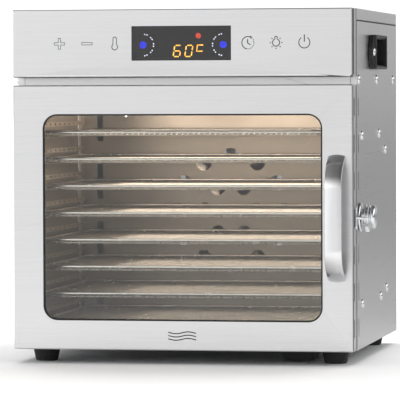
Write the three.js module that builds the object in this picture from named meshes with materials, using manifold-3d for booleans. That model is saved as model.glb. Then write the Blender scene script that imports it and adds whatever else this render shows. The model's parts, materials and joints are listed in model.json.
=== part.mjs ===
// Food dehydrator: a brushed steel cabinet with a glazed door, eight wire trays, and a fan and a
// ring heater behind a pierced baffle. Millimetres, X to the right, Y to the back, Z up.
// Sizes are worked out with x = 0 at the middle of the cabinet, y = 0 at the front face of the
// door and z = 0 under the feet. The exported group then has its origin at the middle of the
// whole footprint, on the surface that the feet stand on.
import * as THREE from "three";
import { mergeVertices } from "three/addons/utils/BufferGeometryUtils.js";
import Module from "manifold-3d";

const wasm = await Module();
wasm.setup();

// ---- Driving dimensions ----

// Casing
const CABINET_W = 317.6;
const DOOR_INSET = 0.8; // cabinet's side to the edge of the door and of the control panel
const CABINET_D = 276; // front plane of the cabinet to the outside of the back panel
const DOOR_H = 243.5;
const PANEL_H = 62.5; // control panel
const STRIP_H = 7; // cabinet front that shows between door and control panel
const PAN_D = 22; // folded depth of the door and of the control panel
const PAN_GAP = 3; // back of those pans to the cabinet's front plane
const SHEET = 1; // steel sheet
const FIT = 0.3; // gap between pieces that touch
const POST_W = 6; // front edge of each side panel, folded inwards
const LID_SKIRT = 10.6;

// Feet and the block under the base
const FOOT_H = 13;
const FOOT_TOP_R = 13;
const FOOT_END_R = 10.5;
const FOOT_SIDE = 22.4; // cabinet's side to the middle of a foot
const FOOT_FRONT = 15; // cabinet's front plane to the middle of a front foot
const FOOT_BACK = 26; // back panel to the middle of a rear foot
const BLOCK_SIDE = 43; // cabinet's side to the block
const BLOCK_W = 32;
const BLOCK_FRONT = 20; // cabinet's front plane to the block
const BLOCK_D = 40;
const BLOCK_H = 10.7;
const BLOCK_TAPER = 2;

// Drying chamber
const CHAMBER_SIDE = 11; // cabinet's side to the chamber's inner wall
const CHAMBER_LOW = 6; // bottom line of the door to the chamber floor
const CHAMBER_HIGH = 9.5; // top line of the door down to the chamber ceiling
const FAN_SPACE = 43.7; // front face of the baffle to the outside of the back panel

// Trays and the racks that carry them
const TRAY_COUNT = 8;
const TRAY_TOP_ROOM = 32.5; // chamber ceiling to the rim of the highest tray
const TRAY_LOW_ROOM = 20.5; // chamber floor to the rim of the lowest tray
const TRAY_SIDE = 4; // chamber wall to the tray
const TRAY_FRONT = 6; // cabinet's front plane to the front rim
const TRAY_BACK = 3; // rear rim to the baffle
const RIM_H = 5.5;
const RIM_W = 3;
const SLAT_COUNT = 13; // strips of mesh between the slots of a tray's floor
const SLAT_SHARE = 0.3; // part of each pitch that is solid
const MESH_T = 1.2;
const MESH_DROP = 1.8; // rim's top to the floor of mesh
const LEDGE_REACH = 8.3; // chamber wall to the inner edge of a runner
const RACK_POST_W = 12;
const RACK_POST_IN = 16; // end of a runner to its post
const DRIP_H = 3; // a flat sheet with a low lip
const DRIP_SIDE = 5; // chamber wall to the drip tray

// Door
const WINDOW_SIDE = 27.7; // side edge of the door to the window
const WINDOW_OVER = 26.4; // top edge of the door to the window
const WINDOW_UNDER = 27; // bottom edge of the door to the window
const WINDOW_R = 13.5;
const GLASS_T = 4;
const GLASS_LAP = 7; // glass behind the door's skin on each side
const INNER_MARGIN = 2; // inner panel's opening is this much larger than the window
const RETAINER_T = 1.2;
const SEAL_W = 3;
const SEAL_OFF = 0.5; // chamber mouth to the seal
const BOW_LEN = 116;
const BOW_W = 15.5;
const BOW_REACH = 26;
const BOW_T = 4;
const BOW_BEND = 26; // height of each curved end
const BOW_FROM_SIDE = 14.5; // right edge of the door to the middle of the bow
const FLANGE_SLOT_W = 5;

// Vent slots down the sides
const SLOT_COUNT = 7;
const SLOT_LEN = 17.3;
const SLOT_W = 4;
const SLOT_END = 20.35; // end of the door to the middle of the nearest slot
const SLOT_BACK = 8; // cabinet's front plane to the slots

// Hinges
const HINGE_LEN = 41;
const HINGE_END = 52.75; // end of the door to the middle of a hinge
const KNUCKLE_R = 1.8;
const KNUCKLE_OUT = 2.2; // cabinet's side to the hinge line
const PIN_R = 0.9;
const LEAF_T = 0.8;
const LEAF_W = 7;

// Latch
const LATCH_BACK = 15; // cabinet's front plane to the spindle
const LATCH_OUT = 16; // how far the knob stands off the cabinet's side
const ROSETTE_R = 13.5;
const ROSETTE_T = 2;
const SPINDLE_R = 3.6;
const HOOK_T = 2;
const HOOK_HUB_R = 8;
const KNOB_R = 10.8;
const GRIP_R = 11.8;
const KEEPER_PIN_R = 1.7;
const KEEPER_BACK = 5; // back of the door to the keeper pin
const KEEPER_SCREW_OFF = 6.8;

// Side handles
const GRIP_BELOW_TOP = 39; // top of the cabinet to the middle of a side handle
const GRIP_FROM_FRONT = 120.5; // cabinet's front plane to the middle of a side handle
const GRIP_LEN = 76;
const GRIP_EAR = 9.5; // each pointed ear beyond that length
const GRIP_H = 32;
const GRIP_OUT = 6.5;
const EAR_OUT = 4.2; // the ears are lower than the rest of the handle
const CUP_LEN = 70;
const CUP_H = 24;
const CUP_DEPTH = 20; // cup inside the side panel
const CUP_WALL = 2;

// Control panel
const DISPLAY_W = 92;
const DISPLAY_H = 31;
const DISPLAY_T = 2.6;
const BOARD_T = 1.6;
const BOARD_BACK = 12; // front of the panel to the control board
const BOARD_MARGIN = 33; // panel's side to the board's end
const BOARD_H = 40;

// Fan, heater and electrical parts
const FAN_R = 72;
const HUB_R = 14;
const BLADE_COUNT = 6;
const BLADE_PITCH_DEG = 28;
const SHAFT_R = 3;
const MOTOR_R = 30;
const HEATER_GAP = 10; // tips of the blades to the heating wire round them
const HEATER_WIRE_R = 4;
const INLET_X = -95; // cabinet's middle to the inlet
const INLET_UP = 30; // base to the inlet
const INLET_FLANGE_T = 3;
const INLET_BODY_W = 30;
const INLET_BODY_H = 23;
const LAMP_R = 13;
const LAMP_BACK = 35; // cabinet's front plane to the lamp
const PROBE_R = 2.5;
const PROBE_SIDE = 47; // left chamber wall to the temperature probe
const PROBE_FRONT = 22; // probe to the baffle behind it
const PROBE_DROP = 22; // how far the probe hangs below the ceiling

// ---- Lines and planes that follow from them ----
const HALF = CABINET_W / 2;
const DOOR_HALF = HALF - DOOR_INSET;
const FRONT = PAN_D + PAN_GAP;
const BACK = FRONT + CABINET_D;
const BASE = FOOT_H;
const DOOR_TOP = BASE + DOOR_H;
const DOOR_MID = BASE + DOOR_H / 2;
const PANEL_LOW = DOOR_TOP + STRIP_H;
const TOP = PANEL_LOW + PANEL_H;
const PANEL_MID = PANEL_LOW + PANEL_H / 2;
const UNDER_LID = TOP - LID_SKIRT - FIT; // top edge of the side and back panels
const WALL = HALF - CHAMBER_SIDE;
const FLOOR = BASE + CHAMBER_LOW;
const CEILING = DOOR_TOP - CHAMBER_HIGH;
const BAFFLE = BACK - FAN_SPACE;
const CHAMBER_MID = (FLOOR + CEILING) / 2;
const TRAY_Y = [FRONT + TRAY_FRONT, BAFFLE - TRAY_BACK];
const TRAY_PITCH = (CEILING - TRAY_TOP_ROOM - FLOOR - TRAY_LOW_ROOM) / (TRAY_COUNT - 1);
const RIM_TOPS = Array.from({ length: TRAY_COUNT }, (_, i) => CEILING - TRAY_TOP_ROOM - i * TRAY_PITCH);
const INSIDE = HALF - SHEET - FIT; // half width between the side panels
const LATCH_Y = FRONT + LATCH_BACK;
const KEEPER_Y = PAN_D - KEEPER_BACK;
const HEATER_R = FAN_R + HEATER_GAP + HEATER_WIRE_R;
const PROBE_X = -(WALL - PROBE_SIDE);
const PROBE_Y = BAFFLE - PROBE_FRONT;

// ---- Finishes ----
const finish = (color, roughness, metalness) =>
  new THREE.MeshStandardMaterial({ color, roughness, metalness });
const brushed = finish(0xcfcfd0, 0.35, 1);
const inner = finish(0xa39c92, 0.4, 1);
const wire = finish(0xc8c4bc, 0.3, 1);
const chrome = finish(0xe8e8ea, 0.08, 1);
const blackPlastic = finish(0x121213, 0.4, 0);
const rubber = finish(0x161616, 0.85, 0);
const silicone = finish(0xb9b4aa, 0.7, 0);
const glass = finish(0xdfe8e6, 0.05, 0);
const screen = finish(0x060608, 0.08, 0);
const circuit = finish(0x1f5a35, 0.5, 0);
const motorGrey = finish(0x5a5c60, 0.5, 0.6);

// ---- Solids ----

// A closed three.js geometry as a solid.
function solid(geometry) {
  for (const name of ["normal", "uv"]) geometry.deleteAttribute(name);
  const merged = mergeVertices(geometry, 1e-4);
  const corners = merged.index.array;
  const faces = [];
  for (let i = 0; i < corners.length; i += 3) {
    const [a, b, c] = [corners[i], corners[i + 1], corners[i + 2]];
    if (a !== b && b !== c && c !== a) faces.push(a, b, c);
  }
  return new wasm.Manifold(
    new wasm.Mesh({
      numProp: 3,
      vertProperties: merged.attributes.position.array,
      triVerts: new Uint32Array(faces),
    }),
  );
}

const join = (...solids) => solids.reduce((all, one) => all.add(one));
const cut = (from, ...tools) => tools.reduce((rest, tool) => rest.subtract(tool), from);

function block([x0, x1], [y0, y1], [z0, z1]) {
  const box = new THREE.BoxGeometry(x1 - x0, y1 - y0, z1 - z0);
  return solid(box.translate((x0 + x1) / 2, (y0 + y1) / 2, (z0 + z1) / 2));
}

// Turns a geometry made along Z so that it runs along the named axis. An outline's two
// coordinates become y, z along X, and x, z along Y (which then runs from `to` back to `from`).
function along(axis, geometry, from, to) {
  const turn = new THREE.Matrix4();
  if (axis === "x") turn.set(0, 0, 1, from, 1, 0, 0, 0, 0, 1, 0, 0, 0, 0, 0, 1);
  if (axis === "y") turn.set(1, 0, 0, 0, 0, 0, -1, to, 0, 1, 0, 0, 0, 0, 0, 1);
  if (axis === "z") turn.makeTranslation(0, 0, from);
  return geometry.applyMatrix4(turn);
}

// An outline carried along an axis from one plane to another.
function prism(axis, outline, from, to, curveSegments = 4) {
  const options = { depth: to - from, bevelEnabled: false, curveSegments };
  return solid(along(axis, new THREE.ExtrudeGeometry(outline, options), from, to));
}

const polygon = (points) => new THREE.Shape(points.map(([u, v]) => new THREE.Vector2(u, v)));

// A rectangle with round corners.
function rounded([u0, u1], [v0, v1], r) {
  const shape = new THREE.Shape();
  const right = Math.PI / 2;
  shape.absarc(u1 - r, v0 + r, r, -right, 0);
  shape.absarc(u1 - r, v1 - r, r, 0, right);
  shape.absarc(u0 + r, v1 - r, r, right, 2 * right);
  shape.absarc(u0 + r, v0 + r, r, 2 * right, 3 * right);
  return shape;
}

// A round bar along an axis; the centre is given in the other two coordinates, in X, Y, Z order.
function bar(axis, [u, v], r, from, to, sides = 16) {
  const disc = new THREE.Shape();
  for (let i = 0; i < sides; i++) {
    const angle = (2 * Math.PI * (i + 0.5)) / sides;
    const corner = [u + r * Math.cos(angle), v + r * Math.sin(angle)];
    if (i) disc.lineTo(...corner);
    else disc.moveTo(...corner);
  }
  return prism(axis, disc, from, to);
}

// A turned piece: profile of [radius, height] from the axis round to the axis, heights rising.
function turned(axis, [x, y, z], profile, sides = 24) {
  const points = profile.map(([r, h]) => new THREE.Vector2(r, h));
  const lathe = new THREE.LatheGeometry(points, sides);
  if (axis === "x") lathe.rotateZ(-Math.PI / 2);
  if (axis === "z") lathe.rotateX(Math.PI / 2);
  return solid(lathe.translate(x, y, z));
}

// ---- The assembly ----
const machine = new THREE.Group();

// Puts one piece into the assembly; side -1 mirrors a right-hand piece to the left.
function place(name, made, material, side = 1) {
  const { vertProperties, triVerts } = made.getMesh();
  const geometry = new THREE.BufferGeometry();
  geometry.setAttribute("position", new THREE.BufferAttribute(vertProperties, 3));
  geometry.setIndex(new THREE.BufferAttribute(triVerts, 1));
  geometry.computeVertexNormals();
  const mesh = new THREE.Mesh(geometry, material);
  mesh.name = name;
  mesh.scale.x = side;
  machine.add(mesh);
}

// ---- Casing ----

// Heights of the vent slots, evenly spaced along the door's height.
function slotHeights() {
  const pitch = (DOOR_H - 2 * SLOT_END) / (SLOT_COUNT - 1);
  return Array.from({ length: SLOT_COUNT }, (_, i) => BASE + SLOT_END + i * pitch);
}

// One upright vent slot through a wall that faces sideways.
function ventSlot(y, z, width, [x0, x1]) {
  const across = [y - width / 2, y + width / 2];
  const up = [z - SLOT_LEN / 2, z + SLOT_LEN / 2];
  return prism("x", rounded(across, up, width / 2 - 0.01), x0, x1, 2);
}

// A side panel as it is on the right: a flat sheet with its front edge folded inwards, vent
// slots, and the opening for the side handle. The latch's spindle passes through one of them.
function sidePanel(hasLatch) {
  const reach = [HALF - 2 * SHEET, HALF + SHEET];
  const depth = [FRONT, BACK - SHEET - FIT];
  const height = [BASE, UNDER_LID];
  const openHeight = CUP_H + 2 * CUP_WALL + 2 * FIT;
  const openLength = CUP_LEN + 2 * CUP_WALL + 2 * FIT;
  const gripY = FRONT + GRIP_FROM_FRONT;
  const gripZ = TOP - GRIP_BELOW_TOP;
  let panel = join(
    block([HALF - SHEET, HALF], depth, height),
    block([HALF - POST_W, HALF], [FRONT, FRONT + SHEET], height),
  );
  panel = cut(
    panel,
    block(
      reach,
      [gripY - openLength / 2, gripY + openLength / 2],
      [gripZ - openHeight / 2, gripZ + openHeight / 2],
    ),
  );
  const clearOfLatch = slotHeights().filter((z) => !hasLatch || Math.abs(z - DOOR_MID) > ROSETTE_R);
  for (const z of clearOfLatch) panel = cut(panel, ventSlot(FRONT + SLOT_BACK, z, SLOT_W, reach));
  return hasLatch ? cut(panel, bar("x", [LATCH_Y, DOOR_MID], SPINDLE_R + FIT, ...reach)) : panel;
}

// The plate between the side panels at the front, with the chamber's mouth and two lugs that
// carry the control panel.
function frontFrame() {
  const lugZ = [PANEL_LOW + 12, TOP - 12];
  const lugY = [SHEET + FIT + 6, FRONT + SHEET];
  const lugX = WALL - 4;
  const face = cut(
    block([-(HALF - POST_W - FIT), HALF - POST_W - FIT], [FRONT, FRONT + SHEET], [BASE, TOP - SHEET - FIT]),
    block([-WALL, WALL], [FRONT - 1, FRONT + 2], [FLOOR, CEILING]),
    bar("y", [0, PANEL_MID], 9, FRONT - 1, FRONT + 2),
  );
  return join(
    face,
    block([lugX, lugX + SHEET], lugY, lugZ),
    block([-lugX - SHEET, -lugX], lugY, lugZ),
  );
}

// The lid: a flat sheet with all four edges folded down, flush with the sides and the back.
function topCover() {
  const out = HALF;
  const y = [FRONT - FIT - SHEET, BACK];
  const shell = block([-out, out], y, [TOP - LID_SKIRT, TOP]);
  const hollow = block(
    [-out + SHEET, out - SHEET],
    [y[0] + SHEET, y[1] - SHEET],
    [TOP - LID_SKIRT - 1, TOP - SHEET],
  );
  return cut(shell, hollow);
}

// The back: two rows of upright air slots behind the fan, and the inlet's cut-out.
function backPanel() {
  const through = [BACK - 2 * SHEET, BACK + SHEET];
  const slots = { count: 9, pitch: 14, width: 5, length: 46, apart: 60 };
  let panel = block([-HALF, HALF], [BACK - SHEET, BACK], [BASE, UNDER_LID]);
  for (let i = 0; i < slots.count; i++) {
    const x = (i - (slots.count - 1) / 2) * slots.pitch;
    for (const side of [-1, 1]) {
      const z = CHAMBER_MID + (side * slots.apart) / 2 + side * 6;
      const across = [x - slots.width / 2, x + slots.width / 2];
      const up = [z - slots.length / 2, z + slots.length / 2];
      panel = cut(panel, prism("y", rounded(across, up, slots.width / 2 - 0.01), ...through, 1));
    }
  }
  const w = INLET_BODY_W / 2 + FIT;
  const h = INLET_BODY_H / 2 + FIT;
  const z = BASE + INLET_UP;
  return cut(panel, block([INLET_X - w, INLET_X + w], through, [z - h, z + h]));
}

function foot(x, y) {
  const edge = 1.5;
  const top = FOOT_H - FIT;
  return turned("z", [x, y, 0], [
    [0, 0],
    [FOOT_END_R - edge, 0],
    [FOOT_END_R, edge],
    [FOOT_TOP_R, top],
    [0, top],
  ]);
}

// The tapered rubber block under the base, near the front right foot.
function undersideBlock() {
  const right = HALF - BLOCK_SIDE;
  const left = right - BLOCK_W;
  const top = BASE - FIT;
  const outline = polygon([
    [left, top],
    [left + BLOCK_TAPER, top - BLOCK_H],
    [right - BLOCK_TAPER, top - BLOCK_H],
    [right, top],
  ]);
  const y = FRONT + BLOCK_FRONT;
  return prism("y", outline, y, y + BLOCK_D);
}

// A side handle as it is on the right: a flange with a pointed ear at each end, and a cup for
// the fingers whose mouth is wider than its inside.
function sideHandle() {
  const y = FRONT + GRIP_FROM_FRONT;
  const z = TOP - GRIP_BELOW_TOP;
  const [l, h, e] = [GRIP_LEN / 2, GRIP_H / 2, GRIP_LEN / 2 + GRIP_EAR];
  const earH = 5;
  const face = HALF + FIT + GRIP_OUT;
  const outline = polygon([
    [y - l, z - h],
    [y + l, z - h],
    [y + e, z - earH],
    [y + e, z + earH],
    [y + l, z + h],
    [y - l, z + h],
    [y - e, z + earH],
    [y - e, z - earH],
  ]);
  const middle = block([HALF + FIT, face], [y - l, y + l], [z - h, z + h]);
  const mouth = 2.4; // sloped lips above and below the cup's mouth
  const [c, w] = [CUP_LEN / 2, CUP_WALL];
  const cupZ = CUP_H / 2;
  const hollow = new THREE.Shape(
    [
      [HALF - CUP_DEPTH, z - cupZ],
      [face - mouth - 1, z - cupZ],
      [face + 0.5, z - cupZ - mouth],
      [face + 0.5, z + cupZ + mouth],
      [face - mouth - 1, z + cupZ],
      [HALF - CUP_DEPTH, z + cupZ],
    ].map(([u, v]) => new THREE.Vector2(u, v)),
  );
  return cut(
    join(
      prism("x", outline, HALF + FIT, HALF + FIT + EAR_OUT),
      middle,
      block([HALF - CUP_DEPTH - w, HALF + 1], [y - c - w, y + c + w], [z - cupZ - w, z + cupZ + w]),
    ),
    prism("y", hollow, y - c, y + c),
  );
}

const basePlateY = [FRONT + SHEET + FIT, BACK - SHEET - FIT];
place("base_plate", block([-INSIDE, INSIDE], basePlateY, [BASE, BASE + SHEET]), brushed);
place("right_side_panel", sidePanel(true), brushed);
place("left_side_panel", sidePanel(false), brushed, -1);
place("front_frame", frontFrame(), brushed);
place("top_cover", topCover(), brushed);
place("back_panel", backPanel(), brushed);
for (const [name, side, y] of [
  ["front_left_foot", -1, FRONT + FOOT_FRONT],
  ["front_right_foot", 1, FRONT + FOOT_FRONT],
  ["rear_left_foot", -1, BACK - FOOT_BACK],
  ["rear_right_foot", 1, BACK - FOOT_BACK],
])
  place(name, foot(side * (HALF - FOOT_SIDE), y), rubber);
place("underside_block", undersideBlock(), rubber);
place("right_handle", sideHandle(), blackPlastic);
place("left_handle", sideHandle(), blackPlastic, -1);

// ---- Drying chamber ----

// The liner: floor, walls and ceiling, open at the front and at the baffle, with holes for the
// lamp and for the temperature probe.
function chamberLiner() {
  const y = [FRONT + SHEET + FIT, BAFFLE - FIT];
  const up = [CEILING - 1, CEILING + SHEET + 1];
  return cut(
    block([-WALL - SHEET, WALL + SHEET], y, [FLOOR - SHEET, CEILING + SHEET]),
    block([-WALL, WALL], [y[0] - 1, y[1] + 1], [FLOOR, CEILING]),
    bar("z", [0, FRONT + LAMP_BACK], LAMP_R + FIT, ...up),
    bar("z", [PROBE_X, PROBE_Y], PROBE_R + FIT, ...up, 10),
  );
}

// The baffle: rings of holes in front of the fan, and return slots down both edges.
function rearBaffle() {
  const through = [BAFFLE - 1, BAFFLE + SHEET + 1];
  const height = [FLOOR - SHEET, CEILING + SHEET];
  let plate = block([-WALL - SHEET, WALL + SHEET], [BAFFLE, BAFFLE + SHEET], height);
  for (const [radius, count] of [[26, 6], [54, 12]])
    for (let i = 0; i < count; i++) {
      const angle = (2 * Math.PI * i) / count;
      const at = [radius * Math.cos(angle), CHAMBER_MID + radius * Math.sin(angle)];
      plate = cut(plate, bar("y", at, 8, ...through, 8));
    }
  const slot = { count: 4, length: 34, width: 6, in: 16 };
  const pitch = (CEILING - FLOOR) / slot.count;
  for (const side of [-1, 1])
    for (let i = 0; i < slot.count; i++) {
      const x = side * (WALL - slot.in);
      const z = FLOOR + (i + 0.5) * pitch;
      const up = [z - slot.length / 2, z + slot.length / 2];
      plate = cut(plate, block([x - slot.width / 2, x + slot.width / 2], through, up));
    }
  return plate;
}

// A rack as it is on the right: two posts against the chamber wall and a runner for each tray.
function trayRack() {
  const outer = WALL - FIT;
  const y = [TRAY_Y[0] - 2, TRAY_Y[1] - 1];
  const postZ = [FLOOR + FIT, CEILING - FIT];
  const posts = [y[0] + RACK_POST_IN, y[1] - RACK_POST_IN - RACK_POST_W].map((at) =>
    block([outer - SHEET, outer], [at, at + RACK_POST_W], postZ),
  );
  const runners = RIM_TOPS.map((rim) => {
    const under = rim - RIM_H - FIT;
    return block([WALL - LEDGE_REACH, outer], y, [under - SHEET, under]);
  });
  return join(...posts, ...runners);
}

// A tray: a rim all round and, a little below its top, a floor of narrow strips that run front
// to back.
function tray(rimTop) {
  const half = WALL - TRAY_SIDE;
  const low = rimTop - RIM_H;
  const inside = half - RIM_W;
  const depth = [TRAY_Y[0] + RIM_W, TRAY_Y[1] - RIM_W];
  const floorTop = rimTop - MESH_DROP;
  const pitch = (2 * inside) / (SLAT_COUNT - 1 + SLAT_SHARE);
  const slat = pitch * SLAT_SHARE;
  let made = cut(
    block([-half, half], TRAY_Y, [low, rimTop]),
    block([-inside, inside], depth, [floorTop, rimTop + 1]),
    block([-inside, inside], depth, [low - 1, floorTop - MESH_T]),
  );
  for (let i = 0; i < SLAT_COUNT - 1; i++) {
    const x = -inside + i * pitch + slat;
    made = cut(made, block([x, x + pitch - slat], depth, [low - 1, rimTop + 1]));
  }
  return made;
}

function dripTray() {
  const half = WALL - DRIP_SIDE;
  const low = FLOOR + FIT;
  return cut(
    block([-half, half], TRAY_Y, [low, low + DRIP_H]),
    block(
      [-half + SHEET, half - SHEET],
      [TRAY_Y[0] + SHEET, TRAY_Y[1] - SHEET],
      [low + SHEET, low + DRIP_H + 1],
    ),
  );
}

place("chamber_liner", chamberLiner(), inner);
place("rear_baffle", rearBaffle(), inner);
place("tray_rack_right", trayRack(), wire);
place("tray_rack_left", trayRack(), wire, -1);
RIM_TOPS.forEach((rim, i) => place(`tray_${i + 1}`, tray(rim), wire));
place("drip_tray", dripTray(), inner);

// ---- Door ----

const WINDOW_X = [-(DOOR_HALF - WINDOW_SIDE), DOOR_HALF - WINDOW_SIDE];
const WINDOW_Z = [BASE + WINDOW_UNDER, DOOR_TOP - WINDOW_OVER];
const grown = ([low, high], by) => [low - by, high + by];

// The window's outline, larger all round by some margin.
const windowOutline = (by) => rounded(grown(WINDOW_X, by), grown(WINDOW_Z, by), WINDOW_R + by);

// A pan of folded sheet: a front face and four edges.
function pan(z) {
  return cut(
    block([-DOOR_HALF, DOOR_HALF], [0, PAN_D], z),
    block([-DOOR_HALF + SHEET, DOOR_HALF - SHEET], [SHEET, PAN_D + 1], [z[0] + SHEET, z[1] - SHEET]),
  );
}

function doorFrame() {
  let frame = cut(pan([BASE, DOOR_TOP]), prism("y", windowOutline(0), -1, SHEET + 1));
  for (const z of slotHeights())
    for (const side of [-1, 1]) {
      const x = [side * DOOR_HALF - 2 * SHEET, side * DOOR_HALF + 2 * SHEET];
      frame = cut(frame, ventSlot(PAN_D / 2, z, FLANGE_SLOT_W, x));
    }
  return frame;
}

function doorInnerPanel() {
  const inset = SHEET + FIT;
  return cut(
    block([-DOOR_HALF + inset, DOOR_HALF - inset], [PAN_D - SHEET, PAN_D], [BASE + inset, DOOR_TOP - inset]),
    prism("y", windowOutline(INNER_MARGIN), PAN_D - 3, PAN_D + 2),
  );
}

// The channel that holds the glass against the door's skin and lines the opening.
function glassRetainer() {
  const y0 = SHEET + GLASS_T + 2 * FIT;
  const y1 = PAN_D - SHEET - FIT;
  const by = INNER_MARGIN;
  const lip = prism("y", windowOutline(GLASS_LAP), y0, y0 + RETAINER_T);
  const lining = prism("y", windowOutline(by + RETAINER_T), y0, y1);
  return cut(join(lip, lining), prism("y", windowOutline(by), y0 - 1, y1 + 1));
}

function doorSeal() {
  const inside = SEAL_OFF;
  const outside = SEAL_OFF + SEAL_W;
  const y = [PAN_D + FIT, FRONT - FIT];
  const mouthX = [-WALL, WALL];
  const mouthZ = [FLOOR, CEILING];
  return cut(
    prism("y", rounded(grown(mouthX, outside), grown(mouthZ, outside), outside), ...y),
    block(grown(mouthX, inside), [y[0] - 1, y[1] + 1], grown(mouthZ, inside)),
  );
}

// The bow handle: a strap that leaves the door in a curve, runs straight and curves back.
function bowHandle() {
  const x = DOOR_HALF - BOW_FROM_SIDE;
  const bow = new THREE.Shape();
  const end = BOW_LEN / 2;
  const straight = end - BOW_BEND;
  const [out, under] = [-BOW_REACH, -BOW_REACH + BOW_T];
  const slope = BOW_T * 1.6; // thickness of the strap where it meets the door, measured up the door
  const z = (v) => DOOR_MID + v;
  bow.moveTo(-FIT, z(end));
  bow.quadraticCurveTo(out * 0.8, z(end - 7), out, z(straight));
  bow.lineTo(out, z(-straight));
  bow.quadraticCurveTo(out * 0.8, z(-end + 7), -FIT, z(-end));
  bow.lineTo(-FIT, z(-end + slope));
  bow.quadraticCurveTo(under * 0.8, z(-end + 7 + slope), under, z(-straight + 1));
  bow.lineTo(under, z(straight - 1));
  bow.quadraticCurveTo(under * 0.8, z(end - 7 - slope), -FIT, z(end - slope));
  return prism("x", bow, x - BOW_W / 2, x + BOW_W / 2, 8);
}

// ---- Hinges ----
const HINGE_X = -(HALF + KNUCKLE_OUT);
const HINGE_Y = PAN_D + PAN_GAP / 2;

// One leaf of a hinge with its share of the knuckle. The door's leaf has the middle third.
function hingeLeaf(middle, isDoor) {
  const gap = 0.25;
  const third = HINGE_LEN / 3;
  const low = middle - HINGE_LEN / 2;
  const spans = isDoor
    ? [[low + third + gap, low + 2 * third - gap]]
    : [[low, low + third - gap], [low + 2 * third + gap, low + HINGE_LEN]];
  const y = isDoor ? [PAN_D + FIT, PAN_D + FIT + LEAF_T] : [FRONT - FIT - LEAF_T, FRONT - FIT];
  const inner = HINGE_X + KNUCKLE_R + FIT;
  const knuckles = spans.map((span) =>
    join(bar("z", [HINGE_X, HINGE_Y], KNUCKLE_R, ...span), block([HINGE_X, inner + 1], y, span)),
  );
  const plate = block([inner, inner + LEAF_W], y, [low, low + HINGE_LEN]);
  const bore = bar("z", [HINGE_X, HINGE_Y], PIN_R + 0.2, low - 1, low + HINGE_LEN + 1, 12);
  return cut(join(plate, ...knuckles), bore);
}

const hingePin = (middle) =>
  bar("z", [HINGE_X, HINGE_Y], PIN_R, middle - HINGE_LEN / 2 - 1, middle + HINGE_LEN / 2 + 1, 12);

// ---- Latch ----

function latchRosette() {
  const face = HALF + FIT;
  const disc = turned("x", [face, LATCH_Y, DOOR_MID], [
    [0, 0],
    [ROSETTE_R, 0],
    [ROSETTE_R, ROSETTE_T * 0.5],
    [ROSETTE_R - 1.5, ROSETTE_T],
    [0, ROSETTE_T],
  ]);
  return cut(disc, bar("x", [LATCH_Y, DOOR_MID], SPINDLE_R + FIT, face - 1, face + ROSETTE_T + 1));
}

const HOOK_X = HALF + 2 * FIT + ROSETTE_T;

// The hook, turned to the back and so unlatched: an arm with a notch that takes the keeper's
// pin after half a turn over the top.
function latchHook() {
  const reach = LATCH_Y - KEEPER_Y;
  const x = [HOOK_X, HOOK_X + HOOK_T];
  const notch = KEEPER_PIN_R + 0.8;
  const y = (v) => LATCH_Y + v;
  const z = (v) => DOOR_MID + v;
  const arm = polygon([
    [y(0), z(-5)],
    [y(reach + 4), z(-5)],
    [y(reach + 5), z(-3.5)],
    [y(reach + 5), z(2)],
    [y(reach + 4), z(4)],
    [y(0), z(5)],
  ]);
  return cut(
    join(prism("x", arm, ...x), bar("x", [LATCH_Y, DOOR_MID], HOOK_HUB_R, ...x, 24)),
    block([x[0] - 1, x[1] + 1], [y(reach - notch), y(reach + notch)], [z(-KEEPER_PIN_R - FIT), z(8)]),
    bar("x", [LATCH_Y, DOOR_MID], SPINDLE_R + FIT, x[0] - 1, x[1] + 1),
  );
}

// The knob: a spindle through the rosette and the hook, two ridges, a waist and a domed end,
// with a thumb tab that points down while the latch is open.
function latchKnob() {
  const start = HOOK_X + HOOK_T + FIT;
  const end = HALF + LATCH_OUT;
  const inside = HALF - SHEET - 4;
  const at = (share) => start + (end - start) * share;
  const body = turned("x", [0, LATCH_Y, DOOR_MID], [
    [0, inside],
    [SPINDLE_R, inside],
    [SPINDLE_R, start],
    [GRIP_R, start],
    [GRIP_R, at(0.13)],
    [GRIP_R - 2.4, at(0.16)],
    [GRIP_R - 2.4, at(0.26)],
    [GRIP_R, at(0.29)],
    [GRIP_R, at(0.4)],
    [KNOB_R - 2, at(0.44)],
    [KNOB_R - 2, at(0.52)],
    [KNOB_R, at(0.58)],
    [KNOB_R, at(0.8)],
    [KNOB_R - 1.6, at(0.93)],
    [KNOB_R - 4.6, end],
    [0, end],
  ]);
  const tab = block(
    [start, at(0.4)],
    [LATCH_Y - 2.5, LATCH_Y + 2.5],
    [DOOR_MID - ROSETTE_R, DOOR_MID - GRIP_R + 2.4],
  );
  return join(body, tab);
}

// The keeper on the door's right edge: a plate, the pin that the hook takes, and the domes of
// its two screws.
function latchKeeper() {
  const face = DOOR_HALF + FIT;
  const plate = block(
    [face, face + SHEET],
    [KEEPER_Y - 4, PAN_D - 0.5],
    [DOOR_MID - KEEPER_SCREW_OFF - 4, DOOR_MID + KEEPER_SCREW_OFF + 4],
  );
  const pin = bar("x", [KEEPER_Y, DOOR_MID], KEEPER_PIN_R, face, HOOK_X + HOOK_T + FIT, 12);
  const domes = [-1, 1].map((side) =>
    turned("x", [face + SHEET, KEEPER_Y, DOOR_MID + side * KEEPER_SCREW_OFF], [
      [0, -0.5],
      [3.2, -0.5],
      [3.2, 0.3],
      [2.4, 0.75],
      [0, 0.95],
    ], 12),
  );
  return join(plate, pin, ...domes);
}

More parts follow.
